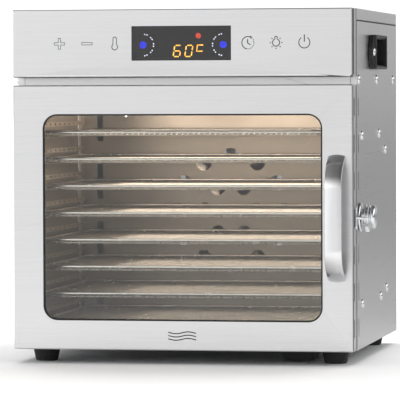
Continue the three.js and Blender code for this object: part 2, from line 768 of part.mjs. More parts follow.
place("door_frame", doorFrame(), brushed);
place("door_inner_panel", doorInnerPanel(), brushed);
const glassX = grown(WINDOW_X, GLASS_LAP);
const glassZ = grown(WINDOW_Z, GLASS_LAP);
const glassPane = prism("y", rounded(glassX, glassZ, 4), SHEET + FIT, SHEET + FIT + GLASS_T, 2);
place("door_glass", glassPane, glass);
place("glass_retainer", glassRetainer(), blackPlastic);
place("door_seal", doorSeal(), silicone);
place("door_handle", bowHandle(), chrome);
for (const [level, middle] of [["upper", DOOR_TOP - HINGE_END], ["lower", BASE + HINGE_END]]) {
  place(`${level}_hinge_door_leaf`, hingeLeaf(middle, true), chrome);
  place(`${level}_hinge_cabinet_leaf`, hingeLeaf(middle, false), chrome);
  place(`${level}_hinge_pin`, hingePin(middle), chrome);
}
place("latch_rosette", latchRosette(), chrome);
place("latch_hook", latchHook(), chrome);
place("latch_knob", latchKnob(), chrome);
place("latch_keeper", latchKeeper(), chrome);

// ---- Control panel ----

const DISPLAY_X = [-DISPLAY_W / 2, DISPLAY_W / 2];
const DISPLAY_Z = [PANEL_MID - DISPLAY_H / 2, PANEL_MID + DISPLAY_H / 2];

function controlFascia() {
  const hole = block(grown(DISPLAY_X, FIT), [-1, SHEET + 1], grown(DISPLAY_Z, FIT));
  return cut(pan([PANEL_LOW, TOP]), hole);
}

// The control board stands on four posts behind the panel's face.
function controlBoard() {
  const half = DOOR_HALF - BOARD_MARGIN;
  const z = [PANEL_MID - BOARD_H / 2, PANEL_MID + BOARD_H / 2];
  const board = block([-half, half], [BOARD_BACK, BOARD_BACK + BOARD_T], z);
  const inset = 6;
  const posts = [-half + inset, half - inset].flatMap((x) =>
    [z[0] + inset, z[1] - inset].map((up) => bar("y", [x, up], 3, SHEET + FIT, BOARD_BACK + 1, 8)),
  );
  return join(board, ...posts);
}

// The power board above the chamber: a relay, a transformer and a capacitor on four posts.
function powerBoard() {
  const low = CEILING + SHEET + FIT;
  const z = low + 7;
  const x = [-50, 50];
  const y = [FRONT + 70, FRONT + 150];
  const inset = 6;
  const posts = [x[0] + inset, x[1] - inset].flatMap((px) =>
    [y[0] + inset, y[1] - inset].map((py) => bar("z", [px, py], 3, low, z + 1, 8)),
  );
  const top = z + BOARD_T;
  return join(
    block(x, y, [z, top]),
    block([-36, -8], [y[0] + 20, y[0] + 52], [top - 0.5, top + 24]),
    block([12, 32], [y[0] + 14, y[0] + 30], [top - 0.5, top + 16]),
    bar("z", [22, y[0] + 54], 8, top - 0.5, top + 22, 12),
    ...posts,
  );
}

place("control_fascia", controlFascia(), brushed);
place("display_window", block(DISPLAY_X, [0, DISPLAY_T], DISPLAY_Z), screen);
const moduleY = [DISPLAY_T + FIT, BOARD_BACK - FIT];
place("display_module", block(grown(DISPLAY_X, -6), moduleY, grown(DISPLAY_Z, -2.5)), blackPlastic);
place("control_board", controlBoard(), circuit);
place("power_board", powerBoard(), circuit);

// ---- Fan, heater and electrical parts ----

const FAN_Y = BAFFLE + SHEET + 5; // front of the fan
const FAN_T = 13;
const SHAFT_END = FAN_Y + 3;

// The fan: a hub with a blind bore, and blades set at an angle.
function fanBlades() {
  const hub = cut(
    bar("y", [0, CHAMBER_MID], HUB_R, FAN_Y, FAN_Y + FAN_T, 20),
    bar("y", [0, CHAMBER_MID], SHAFT_R + FIT, SHAFT_END - FIT, FAN_Y + FAN_T + 1, 12),
  );
  const blades = Array.from({ length: BLADE_COUNT }, (_, i) => {
    const span = FAN_R - HUB_R + 4;
    const blade = new THREE.BoxGeometry(span, 1.2, 26);
    blade.rotateX((BLADE_PITCH_DEG * Math.PI) / 180);
    blade.translate(FAN_R - span / 2, 0, 0);
    blade.rotateY((2 * Math.PI * i) / BLADE_COUNT);
    return solid(blade.translate(0, FAN_Y + FAN_T / 2, CHAMBER_MID));
  });
  return join(hub, ...blades);
}

const MOTOR_Y = [FAN_Y + FAN_T + 2, BACK - SHEET - 2 * FIT - 2.4];

const fanMotor = () =>
  join(
    bar("y", [0, CHAMBER_MID], MOTOR_R, ...MOTOR_Y, 24),
    bar("y", [0, CHAMBER_MID], SHAFT_R, SHAFT_END, MOTOR_Y[0] + 1, 12),
  );

const motorBracket = () => {
  const z = [CHAMBER_MID - 16, CHAMBER_MID + 16];
  return block([-58, 58], [MOTOR_Y[1] + FIT, BACK - SHEET - FIT], z);
};

// The heating wire, coiled into one ring round the fan.
function heaterElement() {
  const sides = 8;
  const ring = Array.from({ length: sides + 1 }, (_, i) => {
    const angle = (2 * Math.PI * (i % sides)) / sides;
    return [HEATER_R + HEATER_WIRE_R * Math.cos(angle), HEATER_WIRE_R * Math.sin(angle)];
  });
  return turned("y", [0, FAN_Y + FAN_T / 2, CHAMBER_MID], ring, 32);
}

// A post from the back panel with a groove that the heating wire lies in.
function heaterBracket(side) {
  const groove = HEATER_WIRE_R + FIT;
  const z = CHAMBER_MID + side * HEATER_R;
  const y = FAN_Y + FAN_T / 2;
  const post = block([-7, 7], [y - 1, BACK - SHEET - FIT], [z - 8, z + 8]);
  const ring = Array.from({ length: 9 }, (_, i) => {
    const angle = (2 * Math.PI * (i % 8)) / 8;
    return [HEATER_R + groove * Math.cos(angle), groove * Math.sin(angle)];
  });
  return cut(post, turned("y", [0, y, CHAMBER_MID], ring, 32));
}

// The power inlet: a flange outside the back panel, and a body with a socket and three pins.
function powerInlet() {
  const z = BASE + INLET_UP;
  const face = BACK + FIT + INLET_FLANGE_T;
  const bodyDepth = 20;
  const socket = { w: 24, h: 16.6, depth: 15 };
  const flange = rounded([INLET_X - 25, INLET_X + 25], [z - 15, z + 15], 6);
  const inlet = join(
    prism("y", flange, BACK + FIT, face),
    block(
      [INLET_X - INLET_BODY_W / 2, INLET_X + INLET_BODY_W / 2],
      [BACK - bodyDepth, BACK + 1],
      [z - INLET_BODY_H / 2, z + INLET_BODY_H / 2],
    ),
  );
  const hollow = block(
    [INLET_X - socket.w / 2, INLET_X + socket.w / 2],
    [face - socket.depth, face + 1],
    [z - socket.h / 2, z + socket.h / 2],
  );
  const pinY = [face - socket.depth - 1, face - 6];
  const pins = [[-7, -2], [0, 2], [7, -2]].map(([dx, dz]) =>
    block([INLET_X + dx - 1, INLET_X + dx + 1], pinY, [z + dz - 2, z + dz + 2]),
  );
  return join(cut(inlet, hollow), ...pins);
}

// The lamp: a lens with a lip under the chamber's ceiling, and its holder above.
const interiorLamp = () =>
  turned("z", [0, FRONT + LAMP_BACK, CEILING], [
    [0, -6],
    [LAMP_R - 4, -6],
    [LAMP_R - 1, -3.5],
    [LAMP_R + 3, -FIT - 1.4],
    [LAMP_R + 3, -FIT],
    [LAMP_R, -FIT],
    [LAMP_R, 10],
    [0, 10],
  ], 20);

place("fan_blades", fanBlades(), wire);
place("fan_motor", fanMotor(), motorGrey);
place("motor_bracket", motorBracket(), brushed);
place("heater_element", heaterElement(), motorGrey);
place("upper_heater_bracket", heaterBracket(1), brushed);
place("lower_heater_bracket", heaterBracket(-1), brushed);
const cutoutAt = [WALL - 47, CHAMBER_MID + 80];
place("thermal_cutout", bar("y", cutoutAt, 8, BAFFLE + SHEET + FIT, BAFFLE + SHEET + 7), blackPlastic);
const probeZ = [CEILING - PROBE_DROP, CEILING + 8];
place("temperature_probe", bar("z", [PROBE_X, PROBE_Y], PROBE_R, ...probeZ, 10), chrome);
place("interior_lamp", interiorLamp(), glass);
place("power_inlet", powerInlet(), blackPlastic);

// ---- Origin: the middle of the footprint of everything, under the feet ----
const left = HALF + FIT + GRIP_OUT;
const right = HALF + LATCH_OUT;
const rear = BACK + FIT + INLET_FLANGE_T;
machine.position.set((left - right) / 2, -(rear - BOW_REACH) / 2, 0);

const dehydrator = new THREE.Group();
dehydrator.add(machine);
export default dehydrator;
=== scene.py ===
# Food dehydrator, its looks: brushed steel skins with folded edges, woven wire trays, a glazed
# door with a bow handle, a chromed turn latch, a lit display, and the fan and heater at the back.
# Metres, X to the right, Y to the back, Z up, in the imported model's own frame.
import json
import math

import bmesh
import bpy
from mathutils import Euler, Matrix, Vector


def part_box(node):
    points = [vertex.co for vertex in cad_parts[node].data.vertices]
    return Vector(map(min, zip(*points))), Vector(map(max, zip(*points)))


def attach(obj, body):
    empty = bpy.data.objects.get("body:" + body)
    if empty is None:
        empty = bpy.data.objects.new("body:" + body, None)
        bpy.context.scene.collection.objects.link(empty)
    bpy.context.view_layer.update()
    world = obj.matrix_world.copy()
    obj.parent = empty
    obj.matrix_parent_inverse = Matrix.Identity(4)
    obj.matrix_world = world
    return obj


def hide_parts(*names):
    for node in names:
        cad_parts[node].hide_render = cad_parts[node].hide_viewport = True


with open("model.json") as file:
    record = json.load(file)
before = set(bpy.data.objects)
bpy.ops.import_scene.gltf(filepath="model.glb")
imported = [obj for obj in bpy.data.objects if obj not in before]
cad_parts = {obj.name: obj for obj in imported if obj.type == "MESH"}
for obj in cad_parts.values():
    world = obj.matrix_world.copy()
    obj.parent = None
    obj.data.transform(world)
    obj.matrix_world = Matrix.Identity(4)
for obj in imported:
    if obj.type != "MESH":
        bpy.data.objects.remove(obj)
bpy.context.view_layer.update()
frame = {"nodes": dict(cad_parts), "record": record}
BODY_OF = {
    node: body
    for body, nodes in frame["record"]["behaviour"]["bodies"].items()
    for node in nodes
}
MM = 0.001

# ---- Planes and lines of the object ----
DOOR_LOW, DOOR_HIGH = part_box("door_frame")
FASCIA_LOW, FASCIA_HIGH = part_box("control_fascia")
SIDE_LOW, SIDE_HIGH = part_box("right_side_panel")
DISPLAY_LOW, DISPLAY_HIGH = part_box("display_window")
MODULE_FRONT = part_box("display_module")[0].y
MIDDLE_X = (DOOR_LOW.x + DOOR_HIGH.x) / 2
DOOR_MID_Z = (DOOR_LOW.z + DOOR_HIGH.z) / 2
FASCIA_MID_Z = (FASCIA_LOW.z + FASCIA_HIGH.z) / 2
FRONT = DOOR_LOW.y  # front face of the door and of the control panel
CABINET_FRONT = SIDE_LOW.y
CABINET_RIGHT = SIDE_HIGH.x
CABINET_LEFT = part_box("left_side_panel")[0].x
CABINET_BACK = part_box("back_panel")[1].y
SIDES = (("right", 1, CABINET_RIGHT), ("left", -1, CABINET_LEFT))


# ---- Modelling, as by hand ----


def only(piece):
    """Selects one piece and nothing else, in object mode."""
    if bpy.context.object and bpy.context.object.mode != "OBJECT":
        bpy.ops.object.mode_set(mode="OBJECT")
    bpy.ops.object.select_all(action="DESELECT")
    piece.select_set(True)
    bpy.context.view_layer.objects.active = piece
    return piece


def nothing():
    """Deselects everything, ready for a new primitive."""
    bpy.ops.object.select_all(action="DESELECT")


def settle(piece, name):
    """Names a piece and puts its place into its mesh."""
    only(piece)
    bpy.ops.object.transform_apply(location=True, rotation=True, scale=True)
    piece.name = piece.data.name = name
    return piece


def modify(piece, kind, **settings):
    """Adds one modifier and applies it."""
    only(piece)
    modifier = piece.modifiers.new(kind.lower(), kind)
    for name, value in settings.items():
        setattr(modifier, name, value)
    bpy.ops.object.modifier_apply(modifier=modifier.name)
    return piece


def choose(piece, kind, test):
    """In edit mode, selects just the vertices, edges or faces that pass the test."""
    only(piece)
    bpy.ops.object.mode_set(mode="EDIT")
    bpy.ops.mesh.select_mode(type=kind)
    bpy.ops.mesh.select_all(action="DESELECT")
    mesh = bmesh.from_edit_mesh(piece.data)
    found = {"VERT": mesh.verts, "EDGE": mesh.edges, "FACE": mesh.faces}[kind]
    for one in found:
        one.select_set(test(one))
    mesh.select_flush_mode()
    bmesh.update_edit_mesh(piece.data)


def done():
    bpy.ops.object.mode_set(mode="OBJECT")


def shade(piece, degrees=60):
    """Smooth shading up to an angle."""
    only(piece)
    bpy.ops.object.shade_smooth_by_angle(angle=math.radians(degrees))
    return piece


def smooth(piece, degrees=32):
    """Smooth shading up to an angle, with large faces kept flat."""
    return modify(shade(piece, degrees), "WEIGHTED_NORMAL", keep_sharp=True)


def clean(piece):
    """Merges doubles and turns every face outwards, after a spin, a join or a mirror."""
    choose(piece, "VERT", lambda vertex: True)
    bpy.ops.mesh.remove_doubles(threshold=1e-6)
    bpy.ops.mesh.normals_make_consistent(inside=False)
    done()
    return piece


def finish(piece, name, material, body, replaced=()):
    """Gives a finished piece its name, material, slot and body."""
    settle(piece, name)
    piece.data.materials.clear()
    piece.data.materials.append(material)
    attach(piece, body)
    if replaced:
        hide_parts(*replaced)
    return piece


def whole_copy(node):
    """A copy of a CAD node with its loose triangles merged at their corners."""
    mesh = frame["nodes"][node].data.copy()
    piece = bpy.data.objects.new(node + "_copy", mesh)
    bpy.context.scene.collection.objects.link(piece)
    choose(piece, "VERT", lambda vertex: True)
    bpy.ops.mesh.remove_doubles(threshold=2e-6)
    done()
    return piece


def ease(piece, width, segments=2, degrees=30):
    """Rounds every edge sharper than an angle by a small width."""
    return modify(
        piece,
        "BEVEL",
        width=width,
        segments=segments,
        limit_method="ANGLE",
        angle_limit=math.radians(degrees),
        use_clamp_overlap=True,
        miter_outer="MITER_ARC",
    )


def eased(node, name, material, width=0.25 * MM, segments=2):
    """A CAD node's shape with its edges eased, standing for the node."""
    piece = smooth(ease(whole_copy(node), width, segments))
    return finish(piece, name, material, BODY_OF[node], [node])


TURNS = {  # from +Z to the way a turned piece points
    "Z": (0, 0, 0),
    "Y": (-math.pi / 2, 0, 0),
    "X": (0, math.pi / 2, 0),
    "-X": (0, -math.pi / 2, 0),
}


def turned(profile, place, axis="Z", steps=48):
    """Spins a profile of (radius, height) points round an axis; both ends lie on the axis."""
    nothing()
    bpy.ops.mesh.primitive_plane_add(size=1 * MM, location=(0, 0, 0))
    piece = bpy.context.object
    bpy.ops.object.mode_set(mode="EDIT")
    bpy.ops.mesh.merge(type="CENTER")
    mesh = bmesh.from_edit_mesh(piece.data)
    first = mesh.verts[:][0]
    first.co = Vector((profile[0][0], 0, profile[0][1]))
    first.select_set(True)
    bmesh.update_edit_mesh(piece.data)
    for (r0, h0), (r1, h1) in zip(profile, profile[1:]):
        bpy.ops.mesh.extrude_region_move(
            TRANSFORM_OT_translate={"value": (r1 - r0, 0, h1 - h0)}
        )
    bpy.ops.mesh.select_all(action="SELECT")
    bpy.ops.mesh.spin(steps=steps, angle=2 * math.pi, center=(0, 0, 0), axis=(0, 0, 1))
    done()
    clean(piece)
    piece.rotation_euler = TURNS[axis]
    piece.location = place
    only(piece)
    bpy.ops.object.transform_apply(location=True, rotation=True, scale=True)
    return piece


def blank():
    """A new piece with nothing in it yet, in edit mode, and its mesh."""
    nothing()
    bpy.ops.mesh.primitive_plane_add(size=1 * MM)
    piece = bpy.context.object
    bpy.ops.object.mode_set(mode="EDIT")
    bpy.ops.mesh.delete(type="VERT")
    return piece, bmesh.from_edit_mesh(piece.data)


def block(corner, opposite, name):
    """A plain block between two opposite corners."""
    low, high = Vector(map(min, corner, opposite)), Vector(map(max, corner, opposite))
    nothing()
    bpy.ops.mesh.primitive_cube_add(size=1, location=(low + high) / 2)
    piece = bpy.context.object
    piece.scale = high - low
    return settle(piece, name)


def wires(paths, radius, closed=False, resolution=0):
    """Round wires drawn along paths of points, made a mesh."""
    nothing()
    curve = bpy.data.curves.new("wires", "CURVE")
    curve.dimensions = "3D"
    curve.bevel_depth = radius
    curve.bevel_resolution = resolution
    curve.use_fill_caps = True
    for path in paths:
        spline = curve.splines.new("POLY")
        spline.points.add(len(path) - 1)
        for point, place in zip(spline.points, path):
            point.co = (*place, 1)
        spline.use_cyclic_u = closed
    piece = bpy.data.objects.new("wires", curve)
    bpy.context.scene.collection.objects.link(piece)
    only(piece)
    bpy.ops.object.convert(target="MESH")
    return bpy.context.object


def arc(radius, start, end, steps=20, middle=(0, 0)):
    """Points on an arc, angles in degrees from the right, anticlockwise."""
    return [
        (
            middle[0] + radius * math.cos(math.radians(start + (end - start) * k / steps)),
            middle[1] + radius * math.sin(math.radians(start + (end - start) * k / steps)),
        )
        for k in range(steps + 1)
    ]


def rounded_rectangle(x_ends, y_ends, corner, steps):
    """Points round a rectangle with round corners, anticlockwise."""
    points = []
    for i, j, start in ((1, 0, -90), (1, 1, 0), (0, 1, 90), (0, 0, 180)):
        middle = (x_ends[i] + (corner, -corner)[i], y_ends[j] + (corner, -corner)[j])
        points += arc(corner, start, start + 90, steps, middle)
    return points


def joined(pieces):
    """Joins pieces into the first of them."""
    only(pieces[0])
    for piece in pieces[1:]:
        piece.select_set(True)
    bpy.ops.object.join()
    return pieces[0]


def dressed(nodes, material):
    """Gives CAD nodes that stay as they are their material."""
    for node in nodes:
        for slot in frame["nodes"][node].material_slots:
            slot.material = material


# ---- Materials ----


def colour(hex_value, alpha=1.0):
    """An sRGB hex colour as linear RGBA."""
    parts = [int(hex_value[i : i + 2], 16) / 255 for i in (1, 3, 5)]
    linear = [c / 12.92 if c <= 0.04045 else ((c + 0.055) / 1.055) ** 2.4 for c in parts]
    return (*linear, alpha)


def add(tree, kind, sockets=None, **settings):
    """Adds one node; sockets holds input values or the outputs to link to them."""
    node = tree.nodes.new("ShaderNode" + kind)
    for name, value in settings.items():
        setattr(node, name, value)
    for name, value in (sockets or {}).items():
        if isinstance(value, bpy.types.NodeSocket):
            tree.links.new(value, node.inputs[name])
        else:
            node.inputs[name].default_value = value
    return node


def surface(name, **sockets):
    """A new material with one Principled shader; returns the material, its tree, the shader."""
    material = bpy.data.materials.new(name)
    material.use_nodes = True
    tree = material.node_tree
    shader = tree.nodes["Principled BSDF"]
    for key, value in sockets.items():
        shader.inputs[key.replace("_", " ")].default_value = value
    return material, tree, shader


def noise(tree, scale, detail=2.0, stretch=(1, 1, 1), roughness=0.5):
    """Noise on Object coordinates; scale is features for each metre, stretch its own per axis."""
    place = add(tree, "TexCoord").outputs["Object"]
    fitted = add(tree, "Mapping", {"Vector": place, "Scale": stretch}).outputs["Vector"]
    sockets = {"Vector": fitted, "Scale": scale, "Detail": detail, "Roughness": roughness}
    return add(tree, "TexNoise", sockets).outputs["Fac"]


def blend(tree, factor, low, high):
    """Two colours mixed by a factor."""
    mix = add(tree, "Mix", {0: factor, 6: low, 7: high}, data_type="RGBA")
    return mix.outputs[2]


def between(tree, factor, low, high, start=0.3, end=0.7):
    """A factor from start to end turned into a value from low to high."""
    sockets = {"Value": factor, "From Min": start, "From Max": end, "To Min": low, "To Max": high}
    return add(tree, "MapRange", sockets).outputs["Result"]


def bump(tree, shader, height, depth, strength=1.0):
    """Relief of a real depth in metres on a shader's normal."""
    node = add(tree, "Bump", {"Height": height, "Distance": depth, "Strength": strength})
    tree.links.new(node.outputs["Normal"], shader.inputs["Normal"])


def link(tree, output, shader, name):
    tree.links.new(output, shader.inputs[name])


def clouded(name, colours, rough, size, detail, depth, strength, fine=None, **sockets):
    """A material whose colour and roughness vary in clouds of one size. Its relief has a real
    depth and follows the clouds, or is finer than they are."""
    material, tree, shader = surface(name, **sockets)
    clouds = noise(tree, 1 / size, detail=detail)
    link(tree, blend(tree, clouds, *map(colour, colours)), shader, "Base Color")
    link(tree, between(tree, clouds, *rough), shader, "Roughness")
    bump(tree, shader, noise(tree, 1 / fine) if fine else clouds, depth, strength)
    return material


def brushed_stainless(name, grain, low, high, rough):
    """Stainless steel sheet, No. 4 finish: belt-ground, so fine straight scratches in one
    direction, which soften reflections across them. Scratches are 0.05 mm wide on the real
    sheet and are drawn 1.2 mm wide here, so that they show."""
    material, tree, shader = surface(name, Metallic=1.0)
    across = 1 / (1.2 * MM)
    along = 1 / (90 * MM)
    stretch = {
        "level": (along, along, across),
        "lid": (along, across, along),
    }[grain]
    scratches = noise(tree, 1.0, detail=4.0, stretch=stretch, roughness=0.7)
    clouds = noise(tree, 1 / (120 * MM), detail=3.0)
    streaked = blend(tree, between(tree, scratches, 0, 1), colour(low), colour(high))
    clouded = blend(tree, between(tree, clouds, 0, 0.25), streaked, colour(low))
    link(tree, clouded, shader, "Base Color")
    link(tree, between(tree, scratches, rough - 0.03, rough + 0.03), shader, "Roughness")
    bump(tree, shader, scratches, 0.003 * MM, 0.2)
    return material


def satin_stainless():
    """Stainless strap, satin polished: smoother than the sheets, with soft long reflections."""
    material, tree, shader = surface("satin_stainless", Metallic=1.0)
    lines = noise(tree, 1.0, detail=4.0, stretch=(1 / (0.7 * MM), 1 / (30 * MM), 1 / (60 * MM)))
    link(tree, blend(tree, lines, colour("#dcdcde"), colour("#ececed")), shader, "Base Color")
    link(tree, between(tree, lines, 0.18, 0.25), shader, "Roughness")
    bump(tree, shader, lines, 0.006 * MM, 0.35)
    return material


def galvanised_steel():
    """Hot-dip galvanised sheet: matt bluish grey with spangle, crystals about 8 mm across."""
    material, tree, shader = surface("galvanised_steel", Metallic=1.0)
    place = add(tree, "TexCoord").outputs["Object"]
    sockets = {"Vector": place, "Scale": 1 / (8 * MM)}
    spangle = add(tree, "TexVoronoi", sockets).outputs["Color"]
    shade = add(tree, "SeparateColor", {"Color": spangle}).outputs["Red"]
    link(tree, blend(tree, shade, colour("#9a9da0"), colour("#b9bcbf")), shader, "Base Color")
    link(tree, between(tree, shade, 0.36, 0.52, 0, 1), shader, "Roughness")
    bump(tree, shader, noise(tree, 1 / (3 * MM)), 0.02 * MM, 0.3)
    return material


def foot_rubber():
    """Moulded nitrile rubber: nearly black, matt, with dust paling its edges."""
    material, tree, shader = surface("foot_rubber", IOR=1.52)
    grain = noise(tree, 1 / (0.8 * MM), detail=4.0)
    worn = add(tree, "NewGeometry").outputs["Pointiness"]
    dust = between(tree, worn, 0, 1, 0.5, 0.62)
    base = blend(tree, grain, colour("#0d0d0d"), colour("#181818"))
    link(tree, blend(tree, dust, base, colour("#303030")), shader, "Base Color")
    link(tree, between(tree, grain, 0.6, 0.78), shader, "Roughness")
    bump(tree, shader, grain, 0.05 * MM, 0.4)
    return material


def clear_pane(name, tint, dim, rough, sheen):
    """Clear sheet that shows what is behind it: it lets lamp light straight through."""
    material, tree, shader = surface(name, IOR=1.5, Transmission_Weight=1.0)
    haze = noise(tree, 1 / (60 * MM), detail=3.0)
    link(tree, blend(tree, haze, colour(tint), colour(dim)), shader, "Base Color")
    link(tree, between(tree, haze, rough, rough + 0.015), shader, "Roughness")
    shader.inputs["Specular IOR Level"].default_value = sheen
    for_lamps = add(tree, "BsdfTransparent", {"Color": colour(tint)})
    lamp_ray = add(tree, "LightPath").outputs["Is Shadow Ray"]
    sockets = {0: lamp_ray, 1: shader.outputs["BSDF"], 2: for_lamps.outputs["BSDF"]}
    mixed = add(tree, "MixShader", sockets)
    output = tree.nodes["Material Output"]
    tree.links.new(mixed.outputs["Shader"], output.inputs["Surface"])
    return material


def circuit_board():
    """Glass-epoxy board under green solder mask: glossy, with copper tracks showing through."""
    material, tree, shader = surface("circuit_board", IOR=1.55)
    place = add(tree, "TexCoord").outputs["Object"]
    sockets = {"Vector": place, "Scale": 1 / (5 * MM), "Mortar Size": 0.06, "Row Height": 0.35}
    sockets |= {"Color1": (1, 1, 1, 1), "Color2": (0.7, 0.7, 0.7, 1), "Mortar": (0, 0, 0, 1)}
    tracks = add(tree, "TexBrick", sockets).outputs["Color"]
    link(tree, blend(tree, tracks, colour("#2f7a45"), colour("#15492a")), shader, "Base Color")
    link(tree, between(tree, noise(tree, 1 / (4 * MM)), 0.25, 0.4), shader, "Roughness")
    bump(tree, shader, tracks, -0.04 * MM, 0.5)
    return material


def printed_ink(name, dark, light):
    """Screen-printed epoxy ink on the steel: flat, slightly uneven, matt."""
    return clouded(name, (dark, light), (0.5, 0.62), 0.7 * MM, 3, 0.01 * MM, 0.3, IOR=1.5)


def lit(name, core, rim, strength):
    """A light-emitting chip under tinted epoxy: brightest in small uneven cells."""
    material, tree, shader = surface(name, Roughness=0.4)
    cells = noise(tree, 1 / (1.2 * MM), detail=1.0)
    glow = blend(tree, between(tree, cells, 0, 1), colour(rim), colour(core))
    link(tree, glow, shader, "Base Color")
    link(tree, glow, shader, "Emission Color")
    shader.inputs["Emission Strength"].default_value = strength
    return material


STEEL = brushed_stainless("brushed_stainless", "level", "#d2d2d3", "#dadadb", 0.3)
STEEL_LID = brushed_stainless("brushed_stainless_lid", "lid", "#d2d2d3", "#dadadb", 0.3)
# Stainless steel sheet, 2B mill finish, inside the chamber: a cloudy grey that mirrors softly,
# with a warm brown tint that is a painted reflection of the food drying in it.
LINER = clouded(
    "mill_stainless", ("#a9a095", "#c2baaf"), (0.3, 0.42), 35 * MM, 5, 0.006 * MM, 0.4,
    fine=1.5 * MM, Metallic=1.0,
)
# Drawn stainless wire, electropolished: bright, with faint marks from the drawing.
WIRE = clouded(
    "tray_wire", ("#d2cec7", "#f0eee9"), (0.16, 0.28), 6 * MM, 4, 0.004 * MM, 0.5,
    fine=0.5 * MM, Metallic=1.0,
)
# Pressed stainless strip, tarnished to a warm pale grey by heat.
RAIL = clouded(
    "rail_steel", ("#cdbfb0", "#e4dbcf"), (0.42, 0.55), 12 * MM, 4, 0.01 * MM, 0.4,
    fine=1.2 * MM, Metallic=0.85,
)
SATIN = satin_stainless()
# Chromium plate on a zinc die casting: a hard mirror with the casting's slight ripple.
CHROME = clouded(
    "chrome_plate", ("#dfe1e4", "#f2f3f4"), (0.05, 0.1), 9 * MM, 2, 0.02 * MM, 0.3,
    Metallic=1.0,
)
# Stainless screw, tumble polished: bright, with softened reflections.
SCREW = clouded(
    "tumbled_stainless", ("#e2e2e3", "#f4f4f4"), (0.2, 0.28), 1.5 * MM, 2, 0.01 * MM, 0.3,
    Metallic=1.0,
)
ZINC = galvanised_steel()
# ABS, injection moulded with a fine spark-eroded texture: black with a dull sheen.
ABS = clouded(
    "black_abs", ("#0c0c0d", "#1a1a1c"), (0.34, 0.46), 0.5 * MM, 3, 0.03 * MM, 0.35, IOR=1.53
)
RUBBER = foot_rubber()
# Extruded silicone rubber: soft grey, slightly translucent, with a satin skin.
SILICONE = clouded(
    "silicone", ("#a7a29a", "#bdb8af"), (0.42, 0.55), 10 * MM, 3, 0.02 * MM, 0.3,
    fine=0.6 * MM, IOR=1.41, Subsurface_Weight=0.15, Subsurface_Radius=(0.004, 0.0035, 0.003),
)
GLASS = clear_pane("tempered_glass", "#fdfdfc", "#f8f9f7", 0.0, 0.1)
SMOKED = clear_pane("smoked_acrylic", "#77777c", "#6f6f74", 0.02, 0.4)
# Pressed borosilicate lens with a fine frosted inside: milky, slightly glossy.
LAMP = clouded(
    "lamp_glass", ("#e9e4d6", "#f7f4ea"), (0.25, 0.4), 0.6 * MM, 3, 0.05 * MM, 0.3,
    IOR=1.47, Transmission_Weight=0.6,
)
BOARD = circuit_board()
# Steel stampings under air-dried grey enamel: semi-gloss with a little orange peel.
MOTOR = clouded(
    "motor_enamel", ("#4c4e52", "#64666b"), (0.4, 0.55), 2.5 * MM, 2, 0.04 * MM, 0.4,
    Metallic=0.4,
)
# Nickel-chromium wire, oxidised by its own heat: dull brown-grey with blue patches.
HEATER = clouded(
    "heating_wire", ("#4a413c", "#6b6a70"), (0.45, 0.65), 14 * MM, 4, 0.02 * MM, 0.5,
    fine=0.7 * MM, Metallic=0.8,
)
INK_DARK = printed_ink("black_ink", "#1b1b1c", "#29292b")
INK_GREY = printed_ink("grey_ink", "#5b5b5e", "#6c6c6f")


# ---- Casing ----


def fold_edges(piece, test, width, segments=3):
    """Rounds chosen edges, as a sheet's folds are."""
    choose(piece, "EDGE", test)
    bpy.ops.mesh.bevel(offset=width, segments=segments, affect="EDGES")
    done()
    return piece


def edge_lies(edge, tests, tolerance=0.02 * MM):
    """True if both ends of an edge pass every test of (axis, value)."""
    return all(
        abs(vertex.co[axis] - value) < tolerance
        for vertex in edge.verts
        for axis, value in tests
    )


FOLD = 1.2 * MM  # radius of a sheet's folds


def folded_pan(node, name, low_fold):
    """A pan of folded sheet: round folds at its sides and top, a larger one at the bottom."""
    low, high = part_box(node)
    piece = whole_copy(node)
    uprights = [[(1, low.y), (0, x)] for x in (low.x, high.x)]
    top = [(1, low.y), (2, high.z)]
    bottom = [(1, low.y), (2, low.z)]
    fold_edges(piece, lambda e: edge_lies(e, bottom), low_fold)
    fold_edges(
        piece,
        lambda e: any(edge_lies(e, t) for t in uprights) or edge_lies(e, top),
        FOLD,
    )
    corners = [[(0, x), (2, z)] for x in (low.x, high.x) for z in (low.z, high.z)]
    fold_edges(piece, lambda e: any(edge_lies(e, c) for c in corners), 0.8 * MM)
    smooth(ease(piece, 0.15 * MM, 1, 40))
    return finish(piece, name, STEEL, BODY_OF[node], [node])


def casing():
    folded_pan("control_fascia", "control_fascia_folded", 2.6 * MM)
    folded_pan("door_frame", "door_skin", FOLD)
    for side in ("right", "left"):
        eased(f"{side}_side_panel", f"{side}_side_skin", STEEL, 0.35 * MM)
    eased("front_frame", "front_frame_plate", STEEL, 0.2 * MM)
    eased("top_cover", "lid", STEEL_LID, 0.6 * MM, 3)
    dressed(["back_panel"], STEEL)
    middle_z, inset = 165 * MM, 12 * MM
    for x in (CABINET_LEFT + inset, MIDDLE_X, CABINET_RIGHT - inset):
        for z in (24 * MM, middle_z, 300 * MM):
            if x != MIDDLE_X or z != middle_z:
                name = f"back_screw_{round(x / MM)}_{round(z / MM)}"
                dome_screw((x, CABINET_BACK, z), "Y", name, 0.8)
    eased("base_plate", "bottom_plate", ZINC, 0.25 * MM)
    eased("underside_block", "underside_pad", RUBBER, 0.8 * MM, 3)


def dark_gap_strip(name, corner, opposite, body="cabinet"):
    """A straight black strip between two opposite corners, painted shade in a gap."""
    piece = block(corner, opposite, name)
    return finish(piece, name, RUBBER, body)


